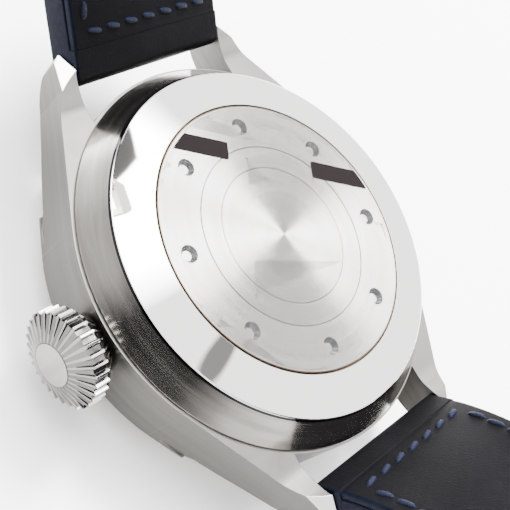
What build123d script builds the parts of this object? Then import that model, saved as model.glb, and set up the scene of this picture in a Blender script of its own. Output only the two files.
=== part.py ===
"""Pilot's wristwatch lying on its crystal: steel case, screw back, fluted crown, movement and leather strap.

Millimetres. +Z points out of the case back, +Y to 12 o'clock and -X to the crown at 3 o'clock.
The origin is the middle of the crystal's outer face, on which the watch lies.
Clock angles run from 12 o'clock as they read on the dial, which faces down.
"""
import os
from math import acos, atan2, cos, degrees, hypot, radians, sin

from build123d import *

os.makedirs("parts", exist_ok=True)

# Case
case_radius = 23.1
crystal_proud = 0.4
bezel_height = 3.6
flank_height = 7.3
back_height = 4.5
flank_foot = crystal_proud + bezel_height
flank_top = flank_foot + flank_height
back_face = flank_top + back_height
case_wall = 3.5
bore_radius = case_radius - case_wall

# Clearances
running_gap = 0.05
seat_gap = 0.03
overrun = 1.0
full_turn = 360.0
hour_count = 12
hour_angle = full_turn / hour_count
triangle_corner_count = 3
ON_BASE = (Align.CENTER, Align.CENTER, Align.MIN)
UNDER = (Align.CENTER, Align.CENTER, Align.MAX)

# Lugs, for the lug beside 9 and 12 o'clock
lug_gap = 22.0
lug_past_bar = 1.4
lug_rise = 1.9
lug_shoulder_width = 2.14
lug_tip_length = 3.9
lug_tip_width = 0.8
lug_tip_round = 0.6
lug_dial_start = 6.0
lug_dial_rise = 6.4
lug_back_shares = ((0.0, 0.0), (0.25, 0.03), (0.44, 0.33), (0.56, 0.60), (0.67, 1.0), (0.85, 1.84),
                   (1.0, 2.6))
lug_dial_shares = ((0.0, 0.0), (0.268, 0.094), (0.491, 0.219), (0.714, 0.344), (0.893, 0.484),
                   (0.964, 0.69), (1.0, 1.0))
facet_height_shares = {"outer": 0.45, "inner": 1.0, "tip": 0.37}
facet_inner_share = 0.67
bar_offset = 3.9
bar_drop = 0.7
bar_reach = case_radius + bar_offset
bar_height = flank_top - bar_drop
lug_tip = bar_reach + lug_past_bar
lug_shoulder = lug_tip - lug_tip_length
bar_radius = 0.9
bar_pivot_radius = 0.45
bar_pivot_length = 0.75

# Crystal, bezel and dial
crystal_inset = 0.6
crystal_radius = bore_radius - crystal_inset
crystal_thickness = 1.9
crystal_bevel = 0.25
gasket_wall = 0.4
gasket_inset = 0.3
bezel_inset = 0.5
bezel_slope_width = 2.3
bezel_radius = case_radius - bezel_inset
bezel_crest = bezel_radius - bezel_slope_width
bezel_step = 0.3
bezel_shelf = 0.5
bezel_shelf_width = 0.6
bezel_opening = crystal_radius - bezel_shelf_width
bezel_spigot = 0.6
bezel_spigot_wall = 0.65
flange_lip = 0.5
flange_gap = 0.1
flange_opening = bezel_opening - flange_lip
flange_outside = bore_radius - bezel_spigot_wall - flange_gap
dial_inset = 0.3
dial_radius = bore_radius - dial_inset
dial_height = 4.75
dial_thickness = 0.4
dial_hole = 1.5
track_inset = 0.2
track_width = 5.1
marker_inset = 2.3
track_outside = flange_opening - track_inset
track_inside = track_outside - track_width
marker_circle_radius = track_outside - marker_inset
track_thickness = 0.05
marker_thickness = 0.1
marker_length = 2.8
marker_width = 1.0
marker_triangle = 1.9
marker_dot = 0.55
marker_dot_spread = 3.1

# Hands and their arbors, from the crystal inwards
hand_thickness = 0.2
seconds_hand_height = 2.5
minute_hand_height = 3.1
hour_hand_height = 3.7
seconds_hand_inset = 1.7
minute_hand_inset = 2.3
hour_hand_inset = 7.5
seconds_hand_length = flange_opening - seconds_hand_inset
minute_hand_length = flange_opening - minute_hand_inset
hour_hand_length = flange_opening - hour_hand_inset
seconds_hand_width = 0.5
minute_hand_width = 2.0
hour_hand_width = 2.8
hand_tip_width = 0.35
hand_root_width = 0.7
seconds_tail = 4.6
hand_hub_radius = 1.35
hand_belly_share = 0.72
clock_angles = {"hour": 304.5, "minute": 54.0, "seconds": 210.0}
seconds_arbor_radius = 0.3
tube_wall = 0.35
hour_wheel_radius = 3.4
hour_wheel_thickness = 0.5

# Movement, from the dial towards the back
mesh_gap = 0.05
hour_wheel_gap = 0.2
pinion_margin = 0.15
stem_clearance = 0.1
ring_width = 0.75
plate_radius = bore_radius - ring_width
plate_thickness = 1.4
plate_recess = 0.9
wheel_thickness = 0.2
wheel_rim = 0.7
wheel_hub_radius = 1.3
spoke_width = 0.55
arbor_radius = 0.3
pivot_depth = 0.4
centre_wheel_height = 6.7
centre_wheel_radius = 6.0
centre_pinion_radius = 0.95
barrel_height = 7.1
barrel_thickness = 1.3
barrel_margin = 3.95
barrel_radius = (plate_radius - barrel_margin - centre_pinion_radius - mesh_gap) / 2
barrel_escape_gap = 0.2154
third_angle = 60.0
third_wheel_height = 8.6
third_pinion_radius = 0.7
fourth_pinion_radius = 0.79
fourth_wheel_height = 9.0
fourth_wheel_gap = 0.2
escape_angle = -40.0
escape_pinion_radius = 0.4
escape_wheel_height = 7.6
escape_wheel_radius = 2.3
escape_teeth = 15
escape_tooth_depth = 0.5
escape_tooth_width = 0.25
fork_angle = -38.5
fork_offset = 1.0
fork_gap = 1.0
fork_width = 0.6
fork_arms = 2.6
fork_height = 7.9
balance_angle = -37.0
balance_margin = 0.65
balance_overlap = 1.0
balance_height = 8.3
balance_thickness = 0.4
pillar_radius = 1.0
pillar_inset = 1.85
pillar_angles = (30.0, 90.0, 150.0, 210.0, 270.0)
bridge_height = 9.4
bridge_thickness = 1.2
rotor_post_radius = 0.85
rotor_post_length = 2.2
rotor_gap = 0.4
rotor_side_gap = 0.5
rotor_rim_width = 3.3
rotor_web = 0.4
rotor_rim_height = 1.6
rotor_hub_radius = 2.4
cover_inset = 0.15
cover_wall = 0.4
cover_radius = plate_radius - cover_inset
rotor_radius = cover_radius - cover_wall - rotor_side_gap
cover_height = 13.0

# Case back: the outer ring with its polished bevel and the screwed disc
neck_inset = 0.65
neck_radius = case_radius - neck_inset
neck_height = 0.12
band_foot_inset = 0.3
band_foot_radius = case_radius - band_foot_inset
band_foot_bevel = 0.18
band_width = 2.35
band_top_radius = band_foot_radius - band_width
bevel_drop = 0.96
band_edge_round = 0.3
bevel_width = 4.72
disc_radius = band_top_radius - bevel_width
disc_gap = 0.2
disc_flange = 0.85
thread_inset = 0.73
thread_radius = disc_radius - thread_inset
ring_underside = 1.9
spigot_radius = bore_radius - running_gap
spigot_wall = 0.55
spigot_depth = 1.8
disc_wall = 0.8
disc_hollow = thread_radius - disc_wall
disc_hollow_depth = 0.5
recess_radius = 1.0
recess_depth = 0.55
recess_floor_radius = 0.55
recess_inset = 2.58
recess_count = 8
recess_phase = 33.1
line_width = 0.14
line_depth = 0.08
inner_line_radius = 8.02
outer_line_radius = 10.58
dot_radius = 0.28
dot_circle_radius = 9.3
dot_angles = (84.0, 207.5)
gasket_margin = 0.65
gasket_outside = thread_radius + gasket_margin
back_gasket_width = 0.4
back_gasket_height = 0.3
film_thickness = 0.1
film_inset = 0.25

# Crown and winding work, on the line through 3 o'clock
crown_height = 7.65
crown_gap = 0.3
crown_foot_radius = 3.4
crown_foot_root = 3.25
crown_radius = 5.25
crown_root_radius = 4.9
crown_skirt = 2.0
crown_side = 1.65
crown_cone = 1.1
crown_flutes = 30
flute_shares = (0.0, 0.2, 0.36, 0.84)
medallion_radius = 2.3
medallion_gap = 0.06
medallion_depth = 0.4
medallion_proud = 0.06
medallion_land = 0.14
crown_cavity_radius = 2.5
crown_cavity_depth = 3.1
tube_radius = 1.9
tube_bore = 0.6
tube_outside = 3.2
tube_inside = 3.0
crown_gasket_wall = 0.5
crown_gasket_height = 0.5
crown_gasket_inset = 0.7
stem_radius = 0.5
stem_seat = 0.6
stem_engagement = 3.2
keyless_inset = 1.25
keyless_start = plate_radius - keyless_inset
stem_reach = keyless_start - stem_engagement
pinion_length = 1.0
clutch_length = 1.4
keyless_gap = 0.2
pinion_radius = 1.4
clutch_radius = 1.25
collar_teeth = 10
collar_tooth = 0.3
stem_block_width = 3.8
stem_block_height = 2.2
stem_block_wall = 1.0
keyless_pocket_radius = 1.5

# Strap: each half starts at its spring bar and runs as straight or evenly bent stretches
strap_side_gap = 0.15
strap_end_width = 18.0
strap_taper_start = 14.0
strap_taper_end = 58.0
strap_nose = 1.3
strap_wrist_side = 2.95
strap_dial_side = 1.4
strap_tail_wrist_side = 1.5
strap_tail_dial_side = 1.5
strap_ceiling = 130.0
lining_start = 2.5
lining_thickness = 0.9
glue_line = 0.02
strap_pad_end = 10.0
strap_thin_start = 60.0
buckle_half_lengths = (8.0, 44.0, 24.0)
buckle_half_headings = (38.0, 36.0, 105.0, 105.0)
hole_half_lengths = (3.0, 9.0, 71.6, 32.0)
hole_half_headings = (62.0, 58.0, 42.0, 118.0, 126.0)
strap_station = 4.0
strap_point_length = 8.0
strap_hole_radius = 1.1
strap_hole_pitch = 6.5
strap_hole_count = 5
strap_first_hole = 12.0
tip_half_width = 2.5

# Buckle and keepers, on the straight end of the buckle half
buckle_bar_radius = 0.9
buckle_bore_depth = 1.2
buckle_end_wall = 1.6
buckle_slot_width = 3.6
buckle_slot_length = 8.0
buckle_side_gap = 0.3
buckle_arm_width = 2.0
buckle_length = 15.0
buckle_crossbar = 2.8
buckle_thickness = 2.2
buckle_corner = 2.4
buckle_heel = 1.6
tongue_width = 2.4
tongue_thickness = 1.1
tongue_ring_wall = 0.65
tongue_overhang = 0.5
keeper_wall = 1.1
keeper_length = 5.0
keeper_gap = 0.3
keeper_room = 3.2
fixed_keeper_place = 7.5
free_keeper_place = 17.0


def save(builder, label):
    """Labels the finished piece and writes it as its own file."""
    builder.part.label = label
    export_step(builder.part, f"parts/{label}.step")


def section(*points, mode=Mode.ADD):
    """Closed outline through the points, as a face of the current sketch."""
    return Polygon(*points, align=None, mode=mode)


def polar(distance, angle):
    """Point at that distance from the case axis, at that angle from +X."""
    return (distance * cos(radians(angle)), distance * sin(radians(angle)))


def dial_plane(height, clock_angle=0.0):
    """Plane at that height whose X axis points to a clock angle."""
    angle = radians(clock_angle)
    return Plane(origin=(0, 0, height), x_dir=(-sin(angle), cos(angle), 0), z_dir=(0, 0, 1))


def crown_plane(reach):
    """Plane across the crown's axis, that far from the case axis, facing away from the case."""
    return Plane(origin=(-reach, 0, crown_height), x_dir=(0, 1, 0), z_dir=(-1, 0, 0))


# Lug: its plan is the flank's tangent, its side view sweeps up to the wrist, and a facet cuts the tip
lug_inner = lug_gap / 2
lug_root = (case_radius ** 2 - lug_inner ** 2) ** 0.5
shoulder_x = lug_inner + lug_shoulder_width
lug_flare = degrees(atan2(lug_shoulder, shoulder_x) - acos(case_radius / hypot(shoulder_x, lug_shoulder)))
flare_x, flare_y = polar(case_radius, lug_flare)
lug_run = lug_tip - lug_root
lug_dial_run = lug_tip - lug_dial_start
facet_points = (
    Vector(shoulder_x, lug_shoulder, flank_top + lug_rise * facet_height_shares["outer"]),
    Vector(lug_inner, lug_root + lug_run * facet_inner_share,
           flank_top + lug_rise * facet_height_shares["inner"]),
    Vector(lug_inner, lug_tip, flank_top + lug_rise * facet_height_shares["tip"]),
)
facet_normal = (facet_points[1] - facet_points[0]).cross(facet_points[2] - facet_points[0])
lug_back = [(lug_root + lug_run * y, flank_top + lug_rise * z) for y, z in lug_back_shares]
lug_dial = [(lug_dial_start + lug_dial_run * y, flank_foot + lug_dial_rise * z) for y, z in lug_dial_shares]

with BuildPart() as lug:
    with BuildSketch(Plane.XY.offset(flank_foot)):
        section((lug_inner, 0), (flare_x, flare_y), (shoulder_x, lug_shoulder),
                (lug_inner + lug_tip_width, lug_tip - lug_tip_round), (lug_inner, lug_tip))
    extrude(amount=back_face)
    with BuildSketch(Plane.YZ):
        with BuildLine():
            Polyline(lug_back[-1], (lug_tip, lug_dial[-1][1]))
            Spline(*reversed(lug_dial), tangents=((-0.2, -1), (-1, 0)))
            Polyline(lug_dial[0], (0, flank_foot), (0, flank_top), lug_back[0])
            Spline(*lug_back, tangents=((1, 0), (0.6, 0.8)))
        make_face()
    extrude(amount=case_radius + overrun, mode=Mode.INTERSECT)
    split(bisect_by=Plane(origin=facet_points[0], z_dir=facet_normal), keep=Keep.TOP)

with BuildPart() as lug_pair:
    add(lug.part)
    mirror(about=Plane.YZ)

with BuildPart() as mid_case:
    with BuildSketch(Plane.XY.offset(flank_foot)):
        Circle(case_radius)
    extrude(amount=flank_height)
    add(lug_pair.part)
    mirror(lug_pair.part, about=Plane.XZ)
    with BuildSketch(Plane.XY.offset(flank_foot)):
        Circle(bore_radius)
    extrude(amount=flank_height, mode=Mode.SUBTRACT)
    with BuildSketch(crown_plane(bore_radius - overrun)):
        Circle(tube_radius + seat_gap)
    extrude(amount=case_radius - bore_radius + overrun + overrun, mode=Mode.SUBTRACT)
    for side in (-1, 1):
        with BuildSketch(Plane.YZ.offset(-lug_inner - bar_pivot_length)):
            with Locations((side * bar_reach, bar_height)):
                Circle(bar_pivot_radius + running_gap)
        extrude(amount=lug_gap + bar_pivot_length + bar_pivot_length, mode=Mode.SUBTRACT)
save(mid_case, "mid_case")

# Front of the watch: crystal, its gasket, bezel, flange, dial and raised hour marks
with BuildPart() as crystal:
    Cylinder(crystal_radius, crystal_thickness, align=ON_BASE)
    chamfer(crystal.edges().group_by(Axis.Z)[0], crystal_bevel)
save(crystal, "crystal")

with BuildPart() as crystal_gasket:
    with BuildSketch(Plane.XY.offset(crystal_proud + gasket_inset)):
        Circle(crystal_radius + seat_gap + gasket_wall)
        Circle(crystal_radius + seat_gap, mode=Mode.SUBTRACT)
    extrude(amount=crystal_thickness - crystal_proud - gasket_inset)
save(crystal_gasket, "crystal_gasket")

bezel_seat = crystal_radius + gasket_wall + seat_gap + seat_gap
shelf_end = crystal_thickness + bezel_shelf
spigot_end = flank_foot + bezel_spigot
with BuildPart() as bezel:
    with BuildSketch(Plane.XZ):
        section((bezel_radius, flank_foot), (bezel_radius, flank_foot - bezel_step),
                (bezel_crest, crystal_proud), (bezel_seat, crystal_proud),
                (bezel_seat, crystal_thickness), (bezel_opening, crystal_thickness),
                (bezel_opening, shelf_end), (bore_radius - bezel_spigot_wall, shelf_end),
                (bore_radius - bezel_spigot_wall, spigot_end), (bore_radius - seat_gap, spigot_end),
                (bore_radius - seat_gap, flank_foot))
    revolve(axis=Axis.Z)
save(bezel, "bezel")

with BuildPart() as dial_flange:
    with BuildSketch(Plane.XZ):
        section((bezel_opening, shelf_end), (flange_opening, dial_height), (flange_outside, dial_height),
                (flange_outside, shelf_end))
    revolve(axis=Axis.Z)
save(dial_flange, "dial_flange")

with BuildPart() as dial:
    with BuildSketch(Plane.XY.offset(dial_height)):
        Circle(dial_radius)
        Circle(dial_hole, mode=Mode.SUBTRACT)
    extrude(amount=dial_thickness)
save(dial, "dial")

with BuildPart() as hour_track:
    with BuildSketch(Plane.XY.offset(dial_height)):
        Circle(track_outside)
        Circle(track_inside, mode=Mode.SUBTRACT)
    extrude(amount=-track_thickness)
    with BuildSketch(dial_plane(dial_height - track_thickness)):
        with PolarLocations(marker_circle_radius, hour_count - 1, hour_angle, full_turn - hour_angle):
            Rectangle(marker_length, marker_width)
        with Locations((marker_circle_radius, 0)):
            RegularPolygon(marker_triangle, triangle_corner_count)
        with Locations((marker_circle_radius, marker_dot_spread), (marker_circle_radius, -marker_dot_spread)):
            Circle(marker_dot)
    extrude(amount=-marker_thickness)
save(hour_track, "hour_track")

# Hands: a flat blade on a round hub, each on the arbor or tube of its own wheel
minute_bore = seconds_arbor_radius + running_gap
minute_tube_radius = minute_bore + tube_wall
hour_bore = minute_tube_radius + running_gap
hour_tube_radius = hour_bore + tube_wall


def hand(name, height, length, width, bore):
    """Builds one hand, its blade widest at its belly, with its hub round the bore."""
    with BuildPart() as piece:
        with BuildSketch(dial_plane(height, clock_angles[name])):
            belly = length * hand_belly_share
            section((0, hand_root_width / 2), (belly, width / 2), (length, hand_tip_width / 2),
                    (length, -hand_tip_width / 2), (belly, -width / 2), (0, -hand_root_width / 2))
            Circle(hand_hub_radius)
            if name == "seconds":
                with Locations((-seconds_tail / 2, 0)):
                    Rectangle(seconds_tail, width)
            if bore:
                Circle(bore, mode=Mode.SUBTRACT)
        extrude(amount=-hand_thickness)
    return piece


hour_hand = hand("hour", hour_hand_height, hour_hand_length, hour_hand_width, hour_bore)
save(hour_hand, "hour_hand")
minute_hand = hand("minute", minute_hand_height, minute_hand_length, minute_hand_width, minute_bore)
save(minute_hand, "minute_hand")
seconds_hand = hand("seconds", seconds_hand_height, seconds_hand_length, seconds_hand_width, 0)
save(seconds_hand, "seconds_hand")

# Movement plate and bridge, with a blind hole for every arbor between them
plate_face = dial_height + dial_thickness
plate_top = plate_face + plate_thickness
bridge_top = bridge_height + bridge_thickness
barrel_distance = barrel_radius + centre_pinion_radius + mesh_gap
train_distance = centre_wheel_radius + third_pinion_radius + mesh_gap
third_wheel_radius = train_distance - fourth_pinion_radius - mesh_gap
fourth_wheel_radius = train_distance - arbor_radius - fourth_wheel_gap
escape_distance = fourth_wheel_radius + escape_pinion_radius + mesh_gap
fork_distance = escape_distance + escape_wheel_radius + fork_offset
barrel_reach = barrel_radius + escape_wheel_radius + barrel_escape_gap
barrel_turn = acos((barrel_distance ** 2 + escape_distance ** 2 - barrel_reach ** 2)
                   / (barrel_distance * escape_distance * 2))
barrel_angle = escape_angle - degrees(barrel_turn)
balance_radius = (plate_radius - balance_margin - fork_distance + balance_overlap) / 2
balance_distance = plate_radius - balance_margin - balance_radius
fork_length = balance_distance - fork_distance - fork_gap
fork_place = polar(fork_distance, fork_angle)
pivots = (polar(barrel_distance, barrel_angle), polar(train_distance, third_angle),
          polar(escape_distance, escape_angle), polar(balance_distance, balance_angle))
keyless_end = keyless_start - pinion_length - clutch_length - keyless_gap
pocket_start = keyless_start + keyless_gap
pocket_length = pocket_start - keyless_end + keyless_gap

with BuildPart() as movement_plate:
    with Locations((0, 0, plate_face)):
        Cylinder(plate_radius, plate_thickness, align=ON_BASE)
        Cylinder(hour_wheel_radius + seat_gap + hour_wheel_gap, plate_recess, align=ON_BASE,
                 mode=Mode.SUBTRACT)
        Cylinder(hour_bore, plate_thickness, align=ON_BASE, mode=Mode.SUBTRACT)
    with Locations([(*polar(plate_radius - pillar_inset, angle), plate_top) for angle in pillar_angles]):
        Cylinder(pillar_radius, bridge_height - plate_top, align=ON_BASE)
    with Locations((-(pocket_start + stem_block_wall), 0, plate_top)):
        Box(pocket_length + stem_block_wall + stem_block_wall, stem_block_width, stem_block_height,
            align=(Align.MIN, Align.CENTER, Align.MIN))
    with Locations([(*point, plate_top - pivot_depth - seat_gap) for point in (*pivots, fork_place)]):
        Cylinder(arbor_radius + running_gap, pivot_depth + seat_gap, align=ON_BASE, mode=Mode.SUBTRACT)
    with Locations((-pocket_start, 0, crown_height - keyless_pocket_radius)):
        Box(pocket_length, keyless_pocket_radius + keyless_pocket_radius,
            stem_block_height + keyless_pocket_radius + overrun,
            align=(Align.MIN, Align.CENTER, Align.MIN), mode=Mode.SUBTRACT)
    with BuildSketch(crown_plane(keyless_end - stem_block_wall - overrun)):
        Circle(stem_radius + running_gap)
    extrude(amount=pocket_length + stem_block_wall + stem_block_wall + overrun + overrun, mode=Mode.SUBTRACT)
save(movement_plate, "movement_plate")

with BuildPart() as train_bridge:
    with Locations((0, 0, bridge_height)):
        Cylinder(plate_radius, bridge_thickness, align=ON_BASE)
        Cylinder(seconds_arbor_radius + running_gap, pivot_depth + seat_gap, align=ON_BASE,
                 mode=Mode.SUBTRACT)
    with Locations([(*point, bridge_height) for point in pivots]):
        Cylinder(arbor_radius + running_gap, pivot_depth + seat_gap, align=ON_BASE, mode=Mode.SUBTRACT)
    with Locations((0, 0, bridge_top)):
        Cylinder(rotor_post_radius, rotor_post_length, align=ON_BASE)
save(train_bridge, "train_bridge")

with BuildPart() as movement_ring:
    with BuildSketch(Plane.XY.offset(plate_face)):
        Circle(bore_radius - seat_gap)
        Circle(plate_radius + seat_gap, mode=Mode.SUBTRACT)
    extrude(amount=flank_top - spigot_depth - plate_face)
    with BuildSketch(crown_plane(plate_radius - overrun)):
        Circle(stem_radius + stem_clearance)
    extrude(amount=bore_radius - plate_radius + overrun + overrun, mode=Mode.SUBTRACT)
save(movement_ring, "movement_ring")


def wheel(place, height, radius, thickness, pinion, arbor_start, arbor_end):
    """Builds a spoked wheel with its pinion (bottom, top, radius) and an arbor between two heights."""
    with BuildPart() as piece:
        with BuildSketch(Plane.XY.offset(height)):
            with Locations(place):
                Circle(radius)
                Circle(radius - wheel_rim, mode=Mode.SUBTRACT)
                Circle(wheel_hub_radius)
                Rectangle(radius + radius - wheel_rim, spoke_width)
                Rectangle(spoke_width, radius + radius - wheel_rim)
        extrude(amount=thickness)
        with BuildSketch(Plane.XY.offset(pinion[0])):
            with Locations(place):
                Circle(pinion[2])
        extrude(amount=pinion[1] - pinion[0])
        with BuildSketch(Plane.XY.offset(arbor_start)):
            with Locations(place):
                Circle(arbor_radius)
        extrude(amount=arbor_end - arbor_start)
    return piece


pivot_low = plate_top - pivot_depth
pivot_high = bridge_height + pivot_depth

fourth_wheel = wheel((0, 0), fourth_wheel_height, fourth_wheel_radius, wheel_thickness,
                     (third_wheel_height - pinion_margin, fourth_wheel_height, fourth_pinion_radius),
                     seconds_hand_height, pivot_high)
save(fourth_wheel, "fourth_wheel")

third_wheel = wheel(polar(train_distance, third_angle), third_wheel_height, third_wheel_radius,
                    wheel_thickness, (centre_wheel_height, third_wheel_height, third_pinion_radius),
                    pivot_low, pivot_high)
save(third_wheel, "third_wheel")

barrel_top = barrel_height + barrel_thickness
with BuildPart() as centre_wheel:
    add(wheel((0, 0), centre_wheel_height, centre_wheel_radius, wheel_thickness,
              (centre_wheel_height, barrel_top, centre_pinion_radius), centre_wheel_height, barrel_top).part)
    with Locations((0, 0, minute_hand_height)):
        Cylinder(minute_tube_radius, barrel_top - minute_hand_height, align=ON_BASE)
        Cylinder(minute_bore, barrel_top - minute_hand_height, align=ON_BASE, mode=Mode.SUBTRACT)
save(centre_wheel, "centre_wheel")

with BuildPart() as hour_wheel:
    with Locations((0, 0, plate_face + hour_wheel_gap)):
        Cylinder(hour_wheel_radius, hour_wheel_thickness, align=ON_BASE)
    with Locations((0, 0, hour_hand_height)):
        Cylinder(hour_tube_radius, plate_face + hour_wheel_gap - hour_hand_height, align=ON_BASE)
        Cylinder(hour_bore, plate_top - hour_hand_height, align=ON_BASE, mode=Mode.SUBTRACT)
save(hour_wheel, "hour_wheel")

with BuildPart() as barrel:
    with Locations((*polar(barrel_distance, barrel_angle), barrel_height)):
        Cylinder(barrel_radius, barrel_thickness, align=ON_BASE)
    with Locations((*polar(barrel_distance, barrel_angle), pivot_low)):
        Cylinder(arbor_radius, pivot_high - pivot_low, align=ON_BASE)
save(barrel, "barrel")

with BuildPart() as escape_wheel:
    with BuildSketch(Plane.XY.offset(escape_wheel_height)):
        with Locations(polar(escape_distance, escape_angle)):
            Circle(escape_wheel_radius - escape_tooth_depth)
            with PolarLocations(escape_wheel_radius - escape_tooth_depth, escape_teeth):
                Rectangle(escape_tooth_depth + escape_tooth_depth, escape_tooth_width)
    extrude(amount=wheel_thickness)
    with Locations((*polar(escape_distance, escape_angle), fourth_wheel_height - pinion_margin)):
        Cylinder(escape_pinion_radius, wheel_thickness + pinion_margin + pinion_margin, align=ON_BASE)
    with Locations((*polar(escape_distance, escape_angle), pivot_low)):
        Cylinder(arbor_radius, pivot_high - pivot_low, align=ON_BASE)
save(escape_wheel, "escape_wheel")

with BuildPart() as pallet_fork:
    with BuildSketch(Plane((*fork_place, fork_height), x_dir=(*polar(1, fork_angle), 0), z_dir=(0, 0, 1))):
        Circle(fork_width)
        with Locations((fork_length / 2, 0)):
            Rectangle(fork_length, fork_width)
        Rectangle(fork_width, fork_arms)
    extrude(amount=wheel_thickness)
    with Locations((*fork_place, pivot_low)):
        Cylinder(arbor_radius, balance_height - pinion_margin - pivot_low, align=ON_BASE)
save(pallet_fork, "pallet_fork")

balance_wheel = wheel(polar(balance_distance, balance_angle), balance_height, balance_radius,
                      balance_thickness,
                      (balance_height, balance_height + balance_thickness, wheel_hub_radius),
                      pivot_low, pivot_high)
save(balance_wheel, "balance_wheel")

# Winding rotor on the bridge's post, under the soft-iron cover that shields the movement
with BuildPart() as rotor:
    with BuildSketch(Plane.XY.offset(bridge_top + rotor_gap)):
        Circle(rotor_radius)
        with Locations((0, -rotor_radius)):
            Rectangle(rotor_radius + rotor_radius, rotor_radius + rotor_radius, mode=Mode.SUBTRACT)
        Circle(rotor_hub_radius)
    extrude(amount=rotor_web)
    with BuildSketch(Plane.XY.offset(bridge_top + rotor_gap)):
        Circle(rotor_radius)
        Circle(rotor_radius - rotor_rim_width, mode=Mode.SUBTRACT)
        with Locations((0, -rotor_radius)):
            Rectangle(rotor_radius + rotor_radius, rotor_radius + rotor_radius, mode=Mode.SUBTRACT)
    extrude(amount=rotor_rim_height)
    with Locations((0, 0, bridge_top)):
        Cylinder(rotor_hub_radius, rotor_gap + rotor_web + rotor_web, align=ON_BASE)
        Cylinder(rotor_post_radius + running_gap, rotor_post_length, align=ON_BASE, mode=Mode.SUBTRACT)
save(rotor, "rotor")

with BuildPart() as soft_iron_cover:
    with Locations((0, 0, bridge_top)):
        Cylinder(cover_radius, cover_height - bridge_top + cover_wall, align=ON_BASE)
        Cylinder(cover_radius - cover_wall, cover_height - bridge_top, align=ON_BASE, mode=Mode.SUBTRACT)
save(soft_iron_cover, "soft_iron_cover")

# Case back: ring with the brushed band and polished bevel, then the screwed disc, its gasket and film
disc_seat = back_face - disc_flange
gasket_inside = gasket_outside - back_gasket_width
bevel_slope = bevel_drop / (band_top_radius - disc_radius)
with BuildPart() as case_back_ring:
    with BuildSketch(Plane.XZ):
        section((neck_radius, flank_top), (neck_radius, flank_top + neck_height),
                (band_foot_radius - band_foot_bevel, flank_top + neck_height),
                (band_foot_radius, flank_top + neck_height + band_foot_bevel),
                (band_top_radius, back_face - bevel_drop),
                (disc_radius + disc_gap, back_face - bevel_slope * disc_gap),
                (disc_radius + disc_gap, disc_seat),
                (gasket_outside, disc_seat), (gasket_outside, disc_seat - back_gasket_height),
                (gasket_inside, disc_seat - back_gasket_height), (gasket_inside, disc_seat),
                (thread_radius + running_gap, disc_seat),
                (thread_radius + running_gap, back_face - ring_underside),
                (spigot_radius - spigot_wall, back_face - ring_underside),
                (spigot_radius - spigot_wall, flank_top - spigot_depth),
                (spigot_radius, flank_top - spigot_depth), (spigot_radius, flank_top))
        fillet(vertices().sort_by_distance((band_top_radius, back_face - bevel_drop))[0], band_edge_round)
    revolve(axis=Axis.Z)
save(case_back_ring, "case_back_ring")

with BuildPart() as case_back:
    with BuildSketch(Plane.XZ):
        section((0, back_face), (disc_radius, back_face), (disc_radius, disc_seat),
                (thread_radius, disc_seat),
                (thread_radius, back_face - ring_underside), (disc_hollow, back_face - ring_underside),
                (disc_hollow, back_face - ring_underside + disc_hollow_depth),
                (0, back_face - ring_underside + disc_hollow_depth))
    revolve(axis=Axis.Z)
    with Locations((0, 0, back_face)):
        with PolarLocations(disc_radius - recess_inset, recess_count, start_angle=recess_phase):
            Cone(recess_floor_radius, recess_radius, recess_depth, align=UNDER, mode=Mode.SUBTRACT)
    with BuildSketch(Plane.XY.offset(back_face)):
        for line_radius in (inner_line_radius, outer_line_radius):
            Circle(line_radius + line_width / 2)
            Circle(line_radius - line_width / 2, mode=Mode.SUBTRACT)
        with Locations([polar(dot_circle_radius, angle) for angle in dot_angles]):
            Circle(dot_radius)
    extrude(amount=-line_depth, mode=Mode.SUBTRACT)
save(case_back, "case_back")

with BuildPart() as back_gasket:
    with BuildSketch(Plane.XY.offset(disc_seat)):
        Circle(gasket_outside - seat_gap)
        Circle(gasket_inside + seat_gap, mode=Mode.SUBTRACT)
    extrude(amount=-back_gasket_height)
save(back_gasket, "back_gasket")

with BuildPart() as protective_film:
    with Locations((0, 0, back_face)):
        Cylinder(disc_radius - film_inset, film_thickness, align=ON_BASE)
save(protective_film, "protective_film")

# Crown: fluted all the way from its foot over the side to the cone round the medallion
crown_foot = case_radius + crown_gap
crown_back_rim = crown_foot + crown_skirt
crown_front_rim = crown_back_rim + crown_side
crown_face = crown_front_rim + crown_cone
medallion_seat = medallion_radius + medallion_gap
crown_cone_radius = medallion_seat + medallion_land


def fluted(outer, root):
    """Corners of the crown's fluted outline in order round its axis."""
    pitch = full_turn / crown_flutes
    corners = list(zip(flute_shares, (outer, outer, root, root)))
    turns = range(crown_flutes)
    return [polar(radius, pitch * (flute + share)) for flute in turns for share, radius in corners]


with BuildPart() as crown:
    for reach, outer, root in ((crown_foot, crown_foot_radius, crown_foot_root),
                               (crown_back_rim, crown_radius, crown_root_radius),
                               (crown_front_rim, crown_radius, crown_root_radius),
                               (crown_face, crown_cone_radius, crown_cone_radius - seat_gap)):
        with BuildSketch(crown_plane(reach)):
            section(*fluted(outer, root))
    loft(ruled=True)
    with BuildSketch(crown_plane(crown_face)):
        Circle(medallion_seat)
    extrude(amount=-medallion_depth, mode=Mode.SUBTRACT)
    with BuildSketch(crown_plane(crown_foot)):
        Circle(crown_cavity_radius)
    extrude(amount=crown_cavity_depth, mode=Mode.SUBTRACT)
    with BuildSketch(crown_plane(crown_foot + crown_gasket_inset)):
        Circle(tube_radius + running_gap + crown_gasket_wall)
    extrude(amount=crown_gasket_height, mode=Mode.SUBTRACT)
save(crown, "crown")

with BuildPart() as crown_medallion:
    with BuildSketch(crown_plane(crown_face - medallion_depth)):
        Circle(medallion_radius)
    extrude(amount=medallion_depth + medallion_proud)
save(crown_medallion, "crown_medallion")

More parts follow.
